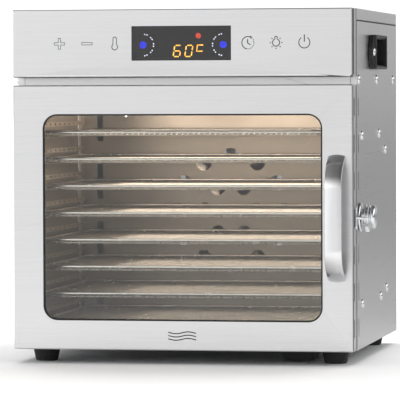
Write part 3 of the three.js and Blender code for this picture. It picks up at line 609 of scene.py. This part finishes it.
def painted_shadow_gaps():
    """Black strips in the joints, painted shade: behind the control panel's edge, behind the door,
    at the lid, where the gaps are only shadow.
    """
    sunk, proud = 0.3 * MM, 0.04 * MM
    back = CABINET_FRONT - 0.1 * MM
    lid_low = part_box("top_cover")[0].z
    for (side, sign, wall), edge in zip(SIDES, (FASCIA_HIGH.x, FASCIA_LOW.x)):
        dark_gap_strip(
            f"{side}_panel_shadow_strip",
            (edge - sign * 1.5 * MM, FASCIA_HIGH.y + 0.1 * MM, FASCIA_LOW.z + 1 * MM),
            (edge - sign * sunk, back, FASCIA_HIGH.z - 1 * MM),
        )
        dark_gap_strip(
            f"{side}_panel_edge_shadow",
            (edge - sign * sunk, FRONT + 1.0 * MM, FASCIA_LOW.z + 2 * MM),
            (edge + sign * proud, FRONT + 9.5 * MM, FASCIA_HIGH.z - 0.6 * MM),
        )
        dark_gap_strip(
            f"{side}_lid_shadow_line",
            (wall - sign * sunk, CABINET_FRONT + 0.6 * MM, lid_low - 1.1 * MM),
            (wall + sign * 0.05 * MM, CABINET_BACK - 2 * MM, lid_low - 0.02 * MM),
        )
    dark_gap_strip(
        "door_gap_shadow",
        (DOOR_HIGH.x - 1.5 * MM, DOOR_HIGH.y + 0.4 * MM, DOOR_LOW.z + 1 * MM),
        (DOOR_HIGH.x - sunk, back, DOOR_HIGH.z - 1 * MM),
    )
    dark_gap_strip(
        "door_edge_shadow",
        (DOOR_HIGH.x - sunk, FRONT + 1.2 * MM, DOOR_LOW.z + 1.2 * MM),
        (DOOR_HIGH.x + proud, FRONT + 5 * MM, DOOR_HIGH.z - 1.2 * MM),
        "door",
    )


def painted_slot_shades():
    """Black strips inside, behind the vent slots of the side panels and the door's edges, left out
    round the latch: painted shade, so that the slots look dark."""
    near, far = 1.1 * MM, 1.6 * MM  # strip's faces, in from the sheet's outside
    end, latch_room = 8 * MM, 26 * MM
    spans = (
        ("lower", DOOR_LOW.z + end, DOOR_MID_Z - latch_room),
        ("upper", DOOR_MID_Z + latch_room, DOOR_HIGH.z - end),
    )
    for (side, sign, wall), edge in zip(SIDES, (DOOR_HIGH.x, DOOR_LOW.x)):
        for part, low, high in spans:
            dark_gap_strip(
                f"{side}_{part}_slot_backing",
                (wall - sign * near, CABINET_FRONT + 4.5 * MM, low),
                (wall - sign * far, CABINET_FRONT + 11.5 * MM, high),
            )
            dark_gap_strip(
                f"door_{side}_{part}_slot_backing",
                (edge - sign * near, FRONT + 7 * MM, low),
                (edge - sign * far, FRONT + 15 * MM, high),
                "door",
            )


def foot(node):
    """A tapered rubber foot with a rounded tread, a groove, and a recess for its screw."""
    low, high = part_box(node)
    tall = high.z - low.z
    top = (high.x - low.x) / 2
    end = top - 2.5 * MM
    profile = [
        (0, 3 * MM),
        (3.5 * MM, 3 * MM),
        (3.9 * MM, 2.6 * MM),
        (3.9 * MM, 0.5 * MM),
        (4.4 * MM, 0),
        (end - 1.6 * MM, 0),
        (end - 0.5 * MM, 0.4 * MM),
        (end, 1.5 * MM),
        (top - 0.6 * MM, tall - 2.4 * MM),
        (top - 0.9 * MM, tall - 2.0 * MM),
        (top, tall - 1.6 * MM),
        (top, tall - 0.3 * MM),
        (top - 0.3 * MM, tall),
        (0, tall),
    ]
    middle = (low + high) / 2
    piece = smooth(turned(profile, (middle.x, middle.y, low.z)), 38)
    finish(piece, node + "_rubber", RUBBER, "cabinet", [node])


def carry_handle(side):
    node = f"{side}_handle"
    piece = whole_copy(node)
    smooth(ease(piece, 0.9 * MM, 3, 25))
    finish(piece, f"{side}_carry_handle", ABS, "cabinet", [node])
    low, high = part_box(node)
    face, axis = (high.x, "X") if side == "right" else (low.x, "-X")
    ear = face - math.copysign(2.3 * MM, face)
    for end, y in (("front", low.y + 5.4 * MM), ("rear", high.y - 5.4 * MM)):
        place = (ear, y, (low.z + high.z) / 2)
        dome_screw(place, axis, f"{side}_handle_screw_{end}", 0.88)


DOME = [(0, 0), (4.3, 0), (4.5, 0.3), (4.3, 1.0), (3.6, 1.7), (2.4, 2.25), (1.1, 2.5), (0, 2.55)]


def dome_screw(place, axis, name, size=1.0, body="cabinet"):
    """A polished domed screw."""
    profile = [(r * size * MM, h * size * MM) for r, h in DOME]
    piece = smooth(turned(profile, place, axis, 24), 45)
    return finish(piece, name, SCREW, body)


def side_screws():
    """Nine screws in each side panel: a row under the carry handle and two groups of three."""
    back_of = [  # from the cabinet's front plane, above the floor it stands on
        (7, 261), (128, 261), (246, 261),
        (27, 209.5), (145, 210), (189, 194),
        (28, 54), (155, 54), (197, 60),
    ]
    for side, x, axis in (("right", CABINET_RIGHT, "X"), ("left", CABINET_LEFT, "-X")):
        for i, (back, up) in enumerate(back_of, 1):
            place = (x, CABINET_FRONT + back * MM, up * MM)
            dome_screw(place, axis, f"{side}_side_screw_{i}")


# ---- Trays ----


def tray(number):
    """A tray of woven wire: a round rim, a floor of crimped wires just under it, whose ends turn
    down outside, and one more wire woven round those ends."""
    node = f"tray_{number}"
    low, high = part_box(node)
    rim = 1.35 * MM
    wire = 0.42 * MM
    pitch = 5.2 * MM
    skirt = 0.9 * MM  # rim's outside to the wires that hang below it
    floor = high.z - 2 * rim - wire
    bottom = low.z + wire + 0.1 * MM

    def lines(start, end):
        count = round((end - start) / pitch)
        step = (end - start) / count
        return [start + (i + 0.5) * step for i in range(count)]

    x_ends = (low.x + skirt, high.x - skirt)
    y_ends = (low.y + skirt, high.y - skirt)
    across = lines(*x_ends)
    deep = lines(*y_ends)

    def crimped(i, crossings, ends):
        """Along one wire: up at one side, over and under the crossing wires, down again."""
        start, end = ends
        levels = [floor + (wire if (i + j) % 2 else -wire) for j in range(len(crossings))]
        return [
            (start, bottom - wire),
            (start, floor - 0.8 * MM),
            (start + 0.8 * MM, floor),
            *zip(crossings, levels),
            (end - 0.8 * MM, floor),
            (end, floor - 0.8 * MM),
            (end, bottom - wire),
        ]

    paths = [
        [(x, y, z) for y, z in crimped(i, deep, y_ends)] for i, x in enumerate(across)
    ]
    paths += [
        [(x, y, z) for x, z in crimped(j + 1, across, x_ends)] for j, y in enumerate(deep)
    ]

    def woven(crossings, fixed):
        """Along one side: in front of one hanging wire and behind the next."""
        return [(at, fixed + (wire if i % 2 else -wire)) for i, at in enumerate(crossings)]

    level = bottom + 0.7 * MM
    paths += [[(x, y, level) for x, y in woven(across, side)] for side in y_ends]
    paths += [[(x, y, level) for y, x in woven(deep, side)] for side in x_ends]
    mesh = wires(paths, wire)
    middles = ((low.x + rim, high.x - rim), (low.y + rim, high.y - rim))
    loop = [(x, y, high.z - rim) for x, y in rounded_rectangle(*middles, 5 * MM, 6)]
    rod = wires([loop], rim, closed=True, resolution=2)
    piece = shade(joined([mesh, rod]))
    finish(piece, f"woven_tray_{number}", WIRE, BODY_OF[node], [node])


def perforated_rail(side, number):
    """A strip along one wall over the edge of a tray, with a row of oblong holes."""
    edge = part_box(f"tray_rack_{side}")
    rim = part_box(f"tray_{number}")[1].z
    pitch, hole = 20 * MM, 7 * MM
    top, bottom = rim + 7.2 * MM, rim + 3 * MM
    count = int((edge[1].y - edge[0].y - 2 * MM) / pitch)
    first = (edge[0].y + edge[1].y - (count - 1) * pitch) / 2
    x = edge[1].x - 1.1 * MM if side == "right" else edge[0].x + 1.1 * MM
    middle_z, half = (top + bottom) / 2, (top - bottom) / 2
    inner = [(0.5, 0.22), (0.42, 0.45), (-0.42, 0.45), (-0.5, 0.22)]
    inner += [(u, -v) for u, v in reversed(inner)]
    outer = [(0.5, 0.35), (0.2, 1), (-0.2, 1), (-0.5, 0.35)]
    outer += [(u, -v) for u, v in reversed(outer)]
    corners = [((0.5, 1), 0, 1), ((-0.5, 1), 2, 3), ((-0.5, -1), 4, 5), ((0.5, -1), 6, 7)]
    piece, mesh = blank()
    for k in range(count):
        y = first + k * pitch
        ring = [mesh.verts.new((x, y + u * hole, middle_z + v * half)) for u, v in inner]
        around = [mesh.verts.new((x, y + u * pitch, middle_z + v * half)) for u, v in outer]
        for i in range(8):
            j = (i + 1) % 8
            mesh.faces.new((ring[i], around[i], around[j], ring[j]))
        for (u, v), i, j in corners:
            corner = mesh.verts.new((x, y + u * pitch, middle_z + v * half))
            mesh.faces.new((around[i], corner, around[j]))
    bmesh.update_edit_mesh(piece.data)
    done()
    clean(piece)
    modify(piece, "SOLIDIFY", thickness=0.8 * MM, offset=0)
    finish(piece, f"{side}_rail_{number}", RAIL, "cabinet")


def chamber():
    eased("chamber_liner", "chamber_sheet", LINER, 0.2 * MM)
    eased("rear_baffle", "baffle_plate", LINER, 0.3 * MM)
    eased("tray_rack_right", "right_rack", WIRE, 0.25 * MM)
    eased("tray_rack_left", "left_rack", WIRE, 0.25 * MM)
    eased("drip_tray", "drip_pan", LINER, 0.35 * MM)
    for number in range(1, 9):
        tray(number)
        for side in ("right", "left"):
            perforated_rail(side, number)


# ---- Door fittings ----


def bow_handle():
    """A flat strap with a crowned outer face that leaves the door in a curve and comes back."""
    low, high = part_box("door_handle")
    middle_x = (low.x + high.x) / 2
    half_width = (high.x - low.x) / 2
    half_length = (high.z - low.z) / 2
    reach = high.y - low.y
    thick, crown = 4 * MM, 3.95 * MM
    section = [  # half of it: across the strap, and out from its back
        (half_width - 0.6 * MM, 0),
        (half_width, 0.6 * MM),
        (half_width, 3.0 * MM),
        (half_width - 0.3 * MM, 3.3 * MM),
        (half_width * 0.62, 3.7 * MM),
        (half_width * 0.2, crown),
    ]
    section += [(-across, up) for across, up in reversed(section)]

    def curved(share, out, top):
        """Along one end: from the door (0) to the straight part (1), as (y, z)."""
        rest = 1 - share
        weights = (rest**3, 3 * share * rest**2, 3 * share**2 * rest, share**3)
        away = sum(weight * u for weight, u in zip(weights, (0, 0.55, 1, 1)))
        along = sum(weight * v * MM for weight, v in zip(weights, (0, 5, 16, 30)))
        return away * out, top - along

    slope = thick * 1.6
    steps = 28
    shares = [k / steps for k in range(steps + 1)]
    rings = []
    for share, sign in [(k, 1) for k in shares] + [(k, -1) for k in reversed(shares)]:
        outer = curved(share, reach, half_length)
        inner = curved(share, reach - thick, half_length - slope * (1 - share) - 0.5 * MM)
        ring = []
        for across, up in section:
            part = up / crown
            y = inner[0] + (outer[0] - inner[0]) * part
            z = inner[1] + (outer[1] - inner[1]) * part
            ring.append((middle_x + across, high.y - y, DOOR_MID_Z + sign * z))
        rings.append(ring)
    piece, mesh = blank()
    loops = [[mesh.verts.new(point) for point in ring] for ring in rings]
    count = len(section)
    for near, far in zip(loops, loops[1:]):
        for i in range(count):
            j = (i + 1) % count
            mesh.faces.new((near[i], near[j], far[j], far[i]))
    mesh.faces.new(loops[0])
    mesh.faces.new(reversed(loops[-1]))
    bmesh.update_edit_mesh(piece.data)
    done()
    clean(piece)
    smooth(piece, 60)
    finish(piece, "bow_handle", SATIN, "door", ["door_handle"])


def latch():
    """The turn latch: a dished rosette, a knob with two ridges and a domed end, and its tab."""
    low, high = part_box("latch_rosette")
    middle = (low + high) / 2
    radius = (high.z - low.z) / 2
    thick = high.x - low.x
    profile = [
        (0, 0),
        (radius - 0.4 * MM, 0),
        (radius, 0.3 * MM),
        (radius, 0.9 * MM),
        (radius - 0.5 * MM, 1.5 * MM),
        (radius - 1.3 * MM, thick),
        (radius - 2.2 * MM, thick),
        (radius - 2.8 * MM, thick - 0.5 * MM),
        (5.2 * MM, thick - 0.5 * MM),
        (4.8 * MM, thick),
        (4.1 * MM, thick),
        (3.9 * MM, thick - 0.2 * MM),
        (3.9 * MM, 0),
    ]
    piece = turned(profile, (low.x, middle.y, middle.z), "X", 64)
    smooth(piece, 50)
    finish(piece, "rosette", CHROME, BODY_OF["latch_rosette"], ["latch_rosette"])
    eased("latch_hook", "hook", CHROME, 0.3 * MM)
    eased("latch_keeper", "keeper", CHROME, 0.2 * MM)
    low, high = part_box("latch_knob")
    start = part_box("latch_hook")[1].x + 0.3 * MM - low.x
    end = high.x - low.x

    def at(share):
        return start + (end - start) * share

    profile = [
        (0, 0),
        (3.6 * MM, 0),
        (3.6 * MM, start),
        (11.3 * MM, start),
        (11.8 * MM, start + 0.4 * MM),
        (11.8 * MM, at(0.1)),
        (11.4 * MM, at(0.13)),
        (9.6 * MM, at(0.16)),
        (9.4 * MM, at(0.21)),
        (9.6 * MM, at(0.26)),
        (11.4 * MM, at(0.29)),
        (11.8 * MM, at(0.32)),
        (11.8 * MM, at(0.37)),
        (11.3 * MM, at(0.41)),
        (9.1 * MM, at(0.45)),
        (8.8 * MM, at(0.48)),
        (9.1 * MM, at(0.52)),
        (10.5 * MM, at(0.57)),
        (10.8 * MM, at(0.62)),
        (10.8 * MM, at(0.76)),
        (10.2 * MM, at(0.86)),
        (8.8 * MM, at(0.93)),
        (6.2 * MM, at(0.98)),
        (2.8 * MM, end),
        (0, end),
    ]
    knob = turned(profile, (low.x, middle.y, middle.z), "X", 64)
    tab_low = middle.z - radius
    tab = block(
        (low.x + start, middle.y - 2.5 * MM, tab_low),
        (low.x + at(0.4), middle.y + 2.5 * MM, tab_low + 4.6 * MM),
        "tab",
    )
    ease(tab, 0.6 * MM, 2, 50)
    piece = smooth(joined([knob, tab]), 40)
    finish(piece, "knob", CHROME, "latch", ["latch_knob"])


def hinges():
    for level in ("upper", "lower"):
        for leaf in ("door_leaf", "cabinet_leaf"):
            eased(f"{level}_hinge_{leaf}", f"{level}_{leaf}", CHROME, 0.15 * MM)
        eased(f"{level}_hinge_pin", f"{level}_pin", CHROME, 0.3 * MM)


def window_pane():
    """The pane: flat faces, rounded corners and ground edges."""
    low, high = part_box("door_glass")
    piece = block(low, high, "pane")
    corners = [[(0, x), (2, z)] for x in (low.x, high.x) for z in (low.z, high.z)]
    fold_edges(piece, lambda e: any(edge_lies(e, c) for c in corners), 5 * MM, 6)
    ease(piece, 0.4 * MM, 1, 60)
    finish(piece, "window_pane", GLASS, "door", ["door_glass"])


def window_trim():
    """A thin black rubber edging round the window, just inside its edge."""
    x_side = (DOOR_LOW.x + 28.4 * MM, DOOR_HIGH.x - 28.4 * MM)
    z_side = (DOOR_LOW.z + 27.7 * MM, DOOR_HIGH.z - 27.1 * MM)
    outline = rounded_rectangle(x_side, z_side, 12.7 * MM, 9)
    loop = [(x, FRONT + 1.0 * MM, z) for x, z in outline]
    piece = shade(wires([loop], 0.8 * MM, closed=True, resolution=2))
    finish(piece, "window_edging", RUBBER, "door")


def door():
    eased("door_inner_panel", "door_inner_skin", STEEL, 0.2 * MM)
    eased("glass_retainer", "glass_channel", ABS, 0.2 * MM)
    eased("door_seal", "door_gasket", SILICONE, 0.5 * MM, 3)
    window_pane()
    window_trim()
    bow_handle()
    latch()
    hinges()


# ---- Control panel ----


def flat_strokes(paths, width, name, material, place, body="cabinet", closed=False):
    """Thin flat strokes on an upright face: paths of (x, z) points round the given place."""
    thick = 0.08 * MM
    drawn = wires([[(x, 0, z) for x, z in path] for path in paths], width / 2, closed, 1)
    drawn.scale = (1, thick / width, 1)
    drawn.location = place
    settle(drawn, name)
    clean(drawn)
    return finish(drawn, name, material, body)


def touch_keys():
    """Six printed touch keys: plus, minus, thermometer, clock, lamp, power."""
    line = 0.95 * MM
    first, step = 62 * MM, 26 * MM

    def key(name, offset, paths, material, closed=False):
        place = (MIDDLE_X + offset, FRONT - 0.02 * MM, FASCIA_MID_Z)
        flat_strokes(paths, line, name, material, place, closed=closed)

    a, b = 4.9 * MM, 1.1 * MM
    plus = [(-b, a), (b, a), (b, b), (a, b), (a, -b), (b, -b)]
    plus += [(b, -a), (-b, -a), (-b, -b), (-a, -b), (-a, b), (-b, b)]
    key("plus_key", -first - 2 * step, [plus], INK_GREY, True)
    key("minus_key", -first - step, [[(-a, b), (a, b), (a, -b), (-a, -b)]], INK_GREY, True)
    bulb = (0, -3.2 * MM)
    stem = 1.6 * MM
    tube = arc(2.7 * MM, 130, 410, 20, bulb)
    tube += arc(stem, 0, 180, 8, (0, 4.4 * MM))
    key("temperature_key", -first, [tube], INK_GREY, True)
    face = [arc(5.6 * MM, 60, 265), *[arc(5.6 * MM, s, s + 9, 3) for s in range(275, 385, 18)]]
    hands = [(-0.3 * MM, 3.2 * MM), (-0.3 * MM, -0.2 * MM), (2.4 * MM, -1.9 * MM)]
    arrow = [(2.2 * MM, 6.0 * MM), (4.0 * MM, 4.6 * MM), (2.4 * MM, 3.9 * MM)]
    key("timer_key", first, [*face, hands, arrow], INK_DARK)
    rays = [
        [(r * math.cos(t), r * math.sin(t)) for r in (4.7 * MM, 5.9 * MM)]
        for t in map(math.radians, (0, 45, 135, 180, 225, 270, 315))
    ]
    globe = arc(3.3 * MM, 110, 430)
    cap = arc(1.2 * MM, -50, 230, 10, (0, 4.5 * MM))
    key("lamp_key", first + step, [globe, cap, *rays], INK_DARK)
    ring = arc(5.1 * MM, 122, 418)
    bar = [(0, 7.2 * MM), (0, 0.6 * MM)]
    key("power_key", first + 2 * step, [ring, bar], INK_DARK)


SEGMENTS = {  # ends of each segment, on a digit 1 wide and 2 tall
    "a": ((0, 2), (1, 2)), "b": ((1, 2), (1, 1)), "c": ((1, 1), (1, 0)), "d": ((0, 0), (1, 0)),
    "e": ((0, 1), (0, 0)), "f": ((0, 2), (0, 1)), "g": ((0, 1), (1, 1)),
}


def digit(lit_segments, middle, width, height):
    """The strokes of one leaning seven-segment digit."""
    lean = math.tan(math.radians(9))
    gap = 0.13
    strokes = []
    for name in lit_segments:
        (u0, v0), (u1, v1) = SEGMENTS[name]
        du, dv = (u1 - u0) * gap, (v1 - v0) * gap
        ends = [(u0 + du, v0 + dv), (u1 - du, v1 - dv)]
        stroke = []
        for u, v in ends:
            z = (v - 1) * height / 2
            stroke.append((middle[0] + (u - 0.5) * width + z * lean, middle[1] + z))
        strokes.append(stroke)
    return strokes


def disc(radius, place):
    """A round lens on the display module, slightly crowned."""
    crown = [(1, 0), (0.8, 0.06 * MM), (0.4, 0.1 * MM), (0, 0.12 * MM)]
    profile = [(0, 0), *[(radius * share, height) for share, height in crown]]
    return smooth(turned(profile, place, "Y", 24))


def display():
    """Behind the smoked window: lit digits, lamps, and two arcs of small white lights."""
    eased("display_window", "smoked_window", SMOKED, 0.3 * MM)
    window = (DISPLAY_LOW + DISPLAY_HIGH) / 2
    middle = Vector((window.x, MODULE_FRONT - 0.02 * MM, window.z))
    amber = lit("amber_segments", "#ffd45a", "#ffa51e", 9.0)
    white = lit("white_dots", "#ffffff", "#dfe6ff", 9.0)
    blue = lit("blue_lamp", "#2038ff", "#0a14d0", 5.0)
    red = lit("red_lamp", "#ff5a30", "#c8260c", 5.0)
    # The unlit lamps still glow faintly: painted light.
    dim = lit("unlit_lamps", "#20301f", "#14201a", 0.4)
    strokes = []
    for lit_segments, x in (("acdefg", -4.0 * MM), ("abcdef", 6.8 * MM)):
        strokes += digit(lit_segments, (x, -7.1 * MM), 6.0 * MM, 10.2 * MM)
    small = [(u, v) for u, v in ((3.0, 2.8), (-2.4, 2.8), (-3.1, -2.8), (2.4, -2.8))]
    strokes.append([(17.2 * MM + u * MM, -4.6 * MM + v * MM) for u, v in small])
    flat_strokes(strokes, 1.3 * MM, "lit_digits", amber, middle)
    dots, lamps = [], []
    lamp_z, ring = -1.5 * MM, 9.9 * MM
    for x, side in ((-35.9 * MM, 1), (38.8 * MM, -1)):
        lamps.append((x, lamp_z))
        for pair in (-74, -37, 0, 37, 74):
            for off in (-6.5, 6.5):
                t = math.radians(pair + off)
                dots.append((x + side * ring * math.cos(t), lamp_z + ring * math.sin(t)))
    groups = (
        ("white_dots", white, 0.55 * MM, dots),
        ("blue_lamps", blue, 3.3 * MM, lamps),
        ("red_lamp", red, 2.5 * MM, [(15.7 * MM, 6.7 * MM)]),
        ("unlit_lamps", dim, 2.2 * MM, [(-13.3 * MM, 7.1 * MM), (1.6 * MM, 7.1 * MM)]),
    )
    for name, material, radius, places in groups:
        discs = [disc(radius, middle + Vector((x, 0, z))) for x, z in places]
        finish(joined(discs), name, material, "cabinet")


def door_mark():
    """Three printed waves of air, low in the middle of the door."""
    paths = []
    for row in (-1, 0, 1):
        paths.append(
            [
                (x * MM, row * 3.0 * MM + 0.9 * MM * math.sin(x / 3.6))
                for x in range(-13, 14)
            ]
        )
    place = (MIDDLE_X, FRONT - 0.02 * MM, DOOR_LOW.z + 13.5 * MM)
    flat_strokes(paths, 1.1 * MM, "air_mark", INK_DARK, place, "door")


# ---- Fan, heater and electrical parts ----


def heating_coil():
    """The heating wire: wound into a close coil, and the coil bent into one ring."""
    low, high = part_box("heater_element")
    middle = (low + high) / 2
    wire = 0.55 * MM
    coil = (high.y - low.y) / 2 - wire
    ring = (high.x - low.x) / 2 - coil - wire
    turns, steps = 130, 12
    path = []
    for k in range(turns * steps):
        round_ring = 2 * math.pi * k / (turns * steps)
        round_coil = 2 * math.pi * k / steps
        out = ring + coil * math.cos(round_coil)
        path.append(
            (
                middle.x + out * math.cos(round_ring),
                middle.y + coil * math.sin(round_coil),
                middle.z + out * math.sin(round_ring),
            )
        )
    piece = shade(wires([path], wire, closed=True))
    finish(piece, "heating_coil", HEATER, "cabinet", ["heater_element"])


def machinery():
    heating_coil()
    eased("fan_blades", "fan_wheel", WIRE, 0.3 * MM)
    eased("fan_motor", "motor", MOTOR, 0.9 * MM, 3)
    eased("motor_bracket", "motor_mount", ZINC, 0.2 * MM)
    for level in ("upper", "lower"):
        eased(f"{level}_heater_bracket", f"{level}_heater_post", ZINC, 0.3 * MM)
    eased("control_board", "key_board", BOARD, 0.1 * MM)
    eased("power_board", "supply_board", BOARD, 0.2 * MM)
    eased("thermal_cutout", "cutout", ABS, 0.5 * MM)
    eased("temperature_probe", "probe", CHROME, 0.5 * MM)
    eased("interior_lamp", "lamp_lens", LAMP, 0.4 * MM)
    eased("power_inlet", "inlet", ABS, 0.3 * MM)
    dressed(["display_module"], ABS)


# ---- Stage ----


def floor():
    """A pale floor that fades to white far off, and is darker behind where steel mirrors it."""
    nothing()
    bpy.ops.mesh.primitive_plane_add(size=60, location=(0, 0, 0))
    plane = bpy.context.object
    plane.name = "floor"
    material, tree, shader = surface("pale_floor", Roughness=0.9)
    tone = noise(tree, 1.5, detail=2.0)
    pale = blend(tree, tone, colour("#fbfbfb"), colour("#fefefe"))
    straight = add(tree, "LightPath").outputs["Is Camera Ray"]
    place = add(tree, "TexCoord").outputs["Object"]
    depth = add(tree, "SeparateXYZ", {"Vector": place}).outputs["Y"]
    away = between(tree, depth, 0, 1, -0.4, 0.6)
    mirrored = blend(tree, away, colour("#f8f8f8"), colour("#a4a4a4"))
    link(tree, blend(tree, straight, mirrored, pale), shader, "Base Color")
    away = add(tree, "VectorMath", {0: place}, operation="LENGTH").outputs["Value"]
    haze = between(tree, away, 0, 0.5, 0.55, 2.2)
    # The floor just in front glows faintly in what the steel mirrors, never seen straight: painted
    # light.
    near = between(tree, away, 0.2, 0.0, 0.3, 1.4)
    ahead = between(tree, depth, 1, 0, -0.3, -0.12)
    near = add(tree, "Math", {0: near, 1: ahead}, operation="MULTIPLY").outputs[0]
    glow = add(tree, "Mix", {0: straight, 2: near, 3: haze}, data_type="FLOAT").outputs[0]
    link(tree, glow, shader, "Emission Strength")
    shader.inputs["Emission Color"].default_value = (1, 1, 1, 1)
    plane.data.materials.append(material)


def studio():
    """A surrounding that is pale in front and beside and darkens overhead; seen straight, white."""
    world = bpy.data.worlds.new("studio")
    bpy.context.scene.world = world
    world.use_nodes = True
    tree = world.node_tree
    background = tree.nodes["Background"]
    direction = add(tree, "TexCoord").outputs["Generated"]
    parts = add(tree, "SeparateXYZ", {"Vector": direction})
    rise = between(tree, parts.outputs["Z"], 1.0, 0.16, 0.1, 0.7)
    depth = between(tree, parts.outputs["Y"], 1.22, 0.88, -0.9, 0.75)
    left = between(tree, parts.outputs["X"], 1.55, 0.6, -0.5, 0.2)
    shade = add(tree, "Math", {0: rise, 1: depth}, operation="MULTIPLY").outputs[0]
    shade = add(tree, "Math", {0: shade, 1: left}, operation="MULTIPLY").outputs[0]
    height = add(tree, "Math", {0: parts.outputs["Z"]}, operation="ABSOLUTE").outputs[0]
    beside = between(tree, height, 0.2, 1.7, 0.1, 0.4)
    right = between(tree, parts.outputs["X"], 0.0, 1.0, 0.55, 0.75)
    shade = add(tree, "Mix", {0: right, 2: shade, 3: beside}, data_type="FLOAT").outputs[0]
    seen = add(tree, "LightPath").outputs["Is Camera Ray"]
    level = add(tree, "Mix", {0: seen, 2: shade, 3: 1.1}, data_type="FLOAT").outputs[0]
    tree.links.new(level, background.inputs["Strength"])
    background.inputs["Color"].default_value = (1, 1, 1, 1)


def lamps():
    """A wide soft lamp behind and overhead, a warm one in the chamber, and an open sky."""

    def lamp(name, place, aim, size, power, mirrored=True):
        nothing()
        bpy.ops.object.light_add(type="AREA", location=place)
        light = bpy.context.object
        light.name = name
        light.data.shape = "RECTANGLE"
        light.data.size, light.data.size_y = size
        light.data.energy = power
        towards = Vector(aim) - Vector(place)
        light.rotation_euler = towards.to_track_quat("-Z", "Y").to_euler()
        light.visible_glossy = mirrored

    lamp("overhead", (0, 0.9, 2.0), (0, 0, 0), (2.2, 1.2), 34, False)
    lamp("in_chamber", (0, -0.03, 0.228), (0, 0.0, 0), (0.22, 0.14), 0.36)
    bpy.context.object.data.color = (1.0, 0.84, 0.7)
    bpy.context.object.visible_camera = False
    nothing()
    bpy.ops.object.light_add(type="SUN", location=(0, 0, 3))
    sky = bpy.context.object
    sky.name = "sky"
    sky.data.energy = 1.0
    sky.data.angle = math.radians(100)
    sky.visible_glossy = False


def camera():
    """Low in front, a little to the right, through a long lens."""
    bpy.ops.object.camera_add(location=(0.5983, -3.2642, 0.2518))
    view = bpy.context.object
    turned_to = Euler((math.radians(90 - 1.81), 0, math.radians(10.617))).to_matrix()
    roll = Matrix.Rotation(math.radians(-0.203), 3, "Z")
    view.rotation_euler = (turned_to @ roll).to_euler()
    view.data.lens = 313.08
    view.data.sensor_width = 36
    view.data.clip_end = 100
    bpy.context.scene.camera = view
    bpy.context.scene.view_settings.view_transform = "Standard"


floor()
studio()
lamps()
camera()
casing()
for name in ("front_left", "front_right", "rear_left", "rear_right"):
    foot(name + "_foot")
for name in ("right", "left"):
    carry_handle(name)
side_screws()
painted_shadow_gaps()
painted_slot_shades()
chamber()
door()
touch_keys()
display()
door_mark()
machinery()

bpy.context.view_layer.update()
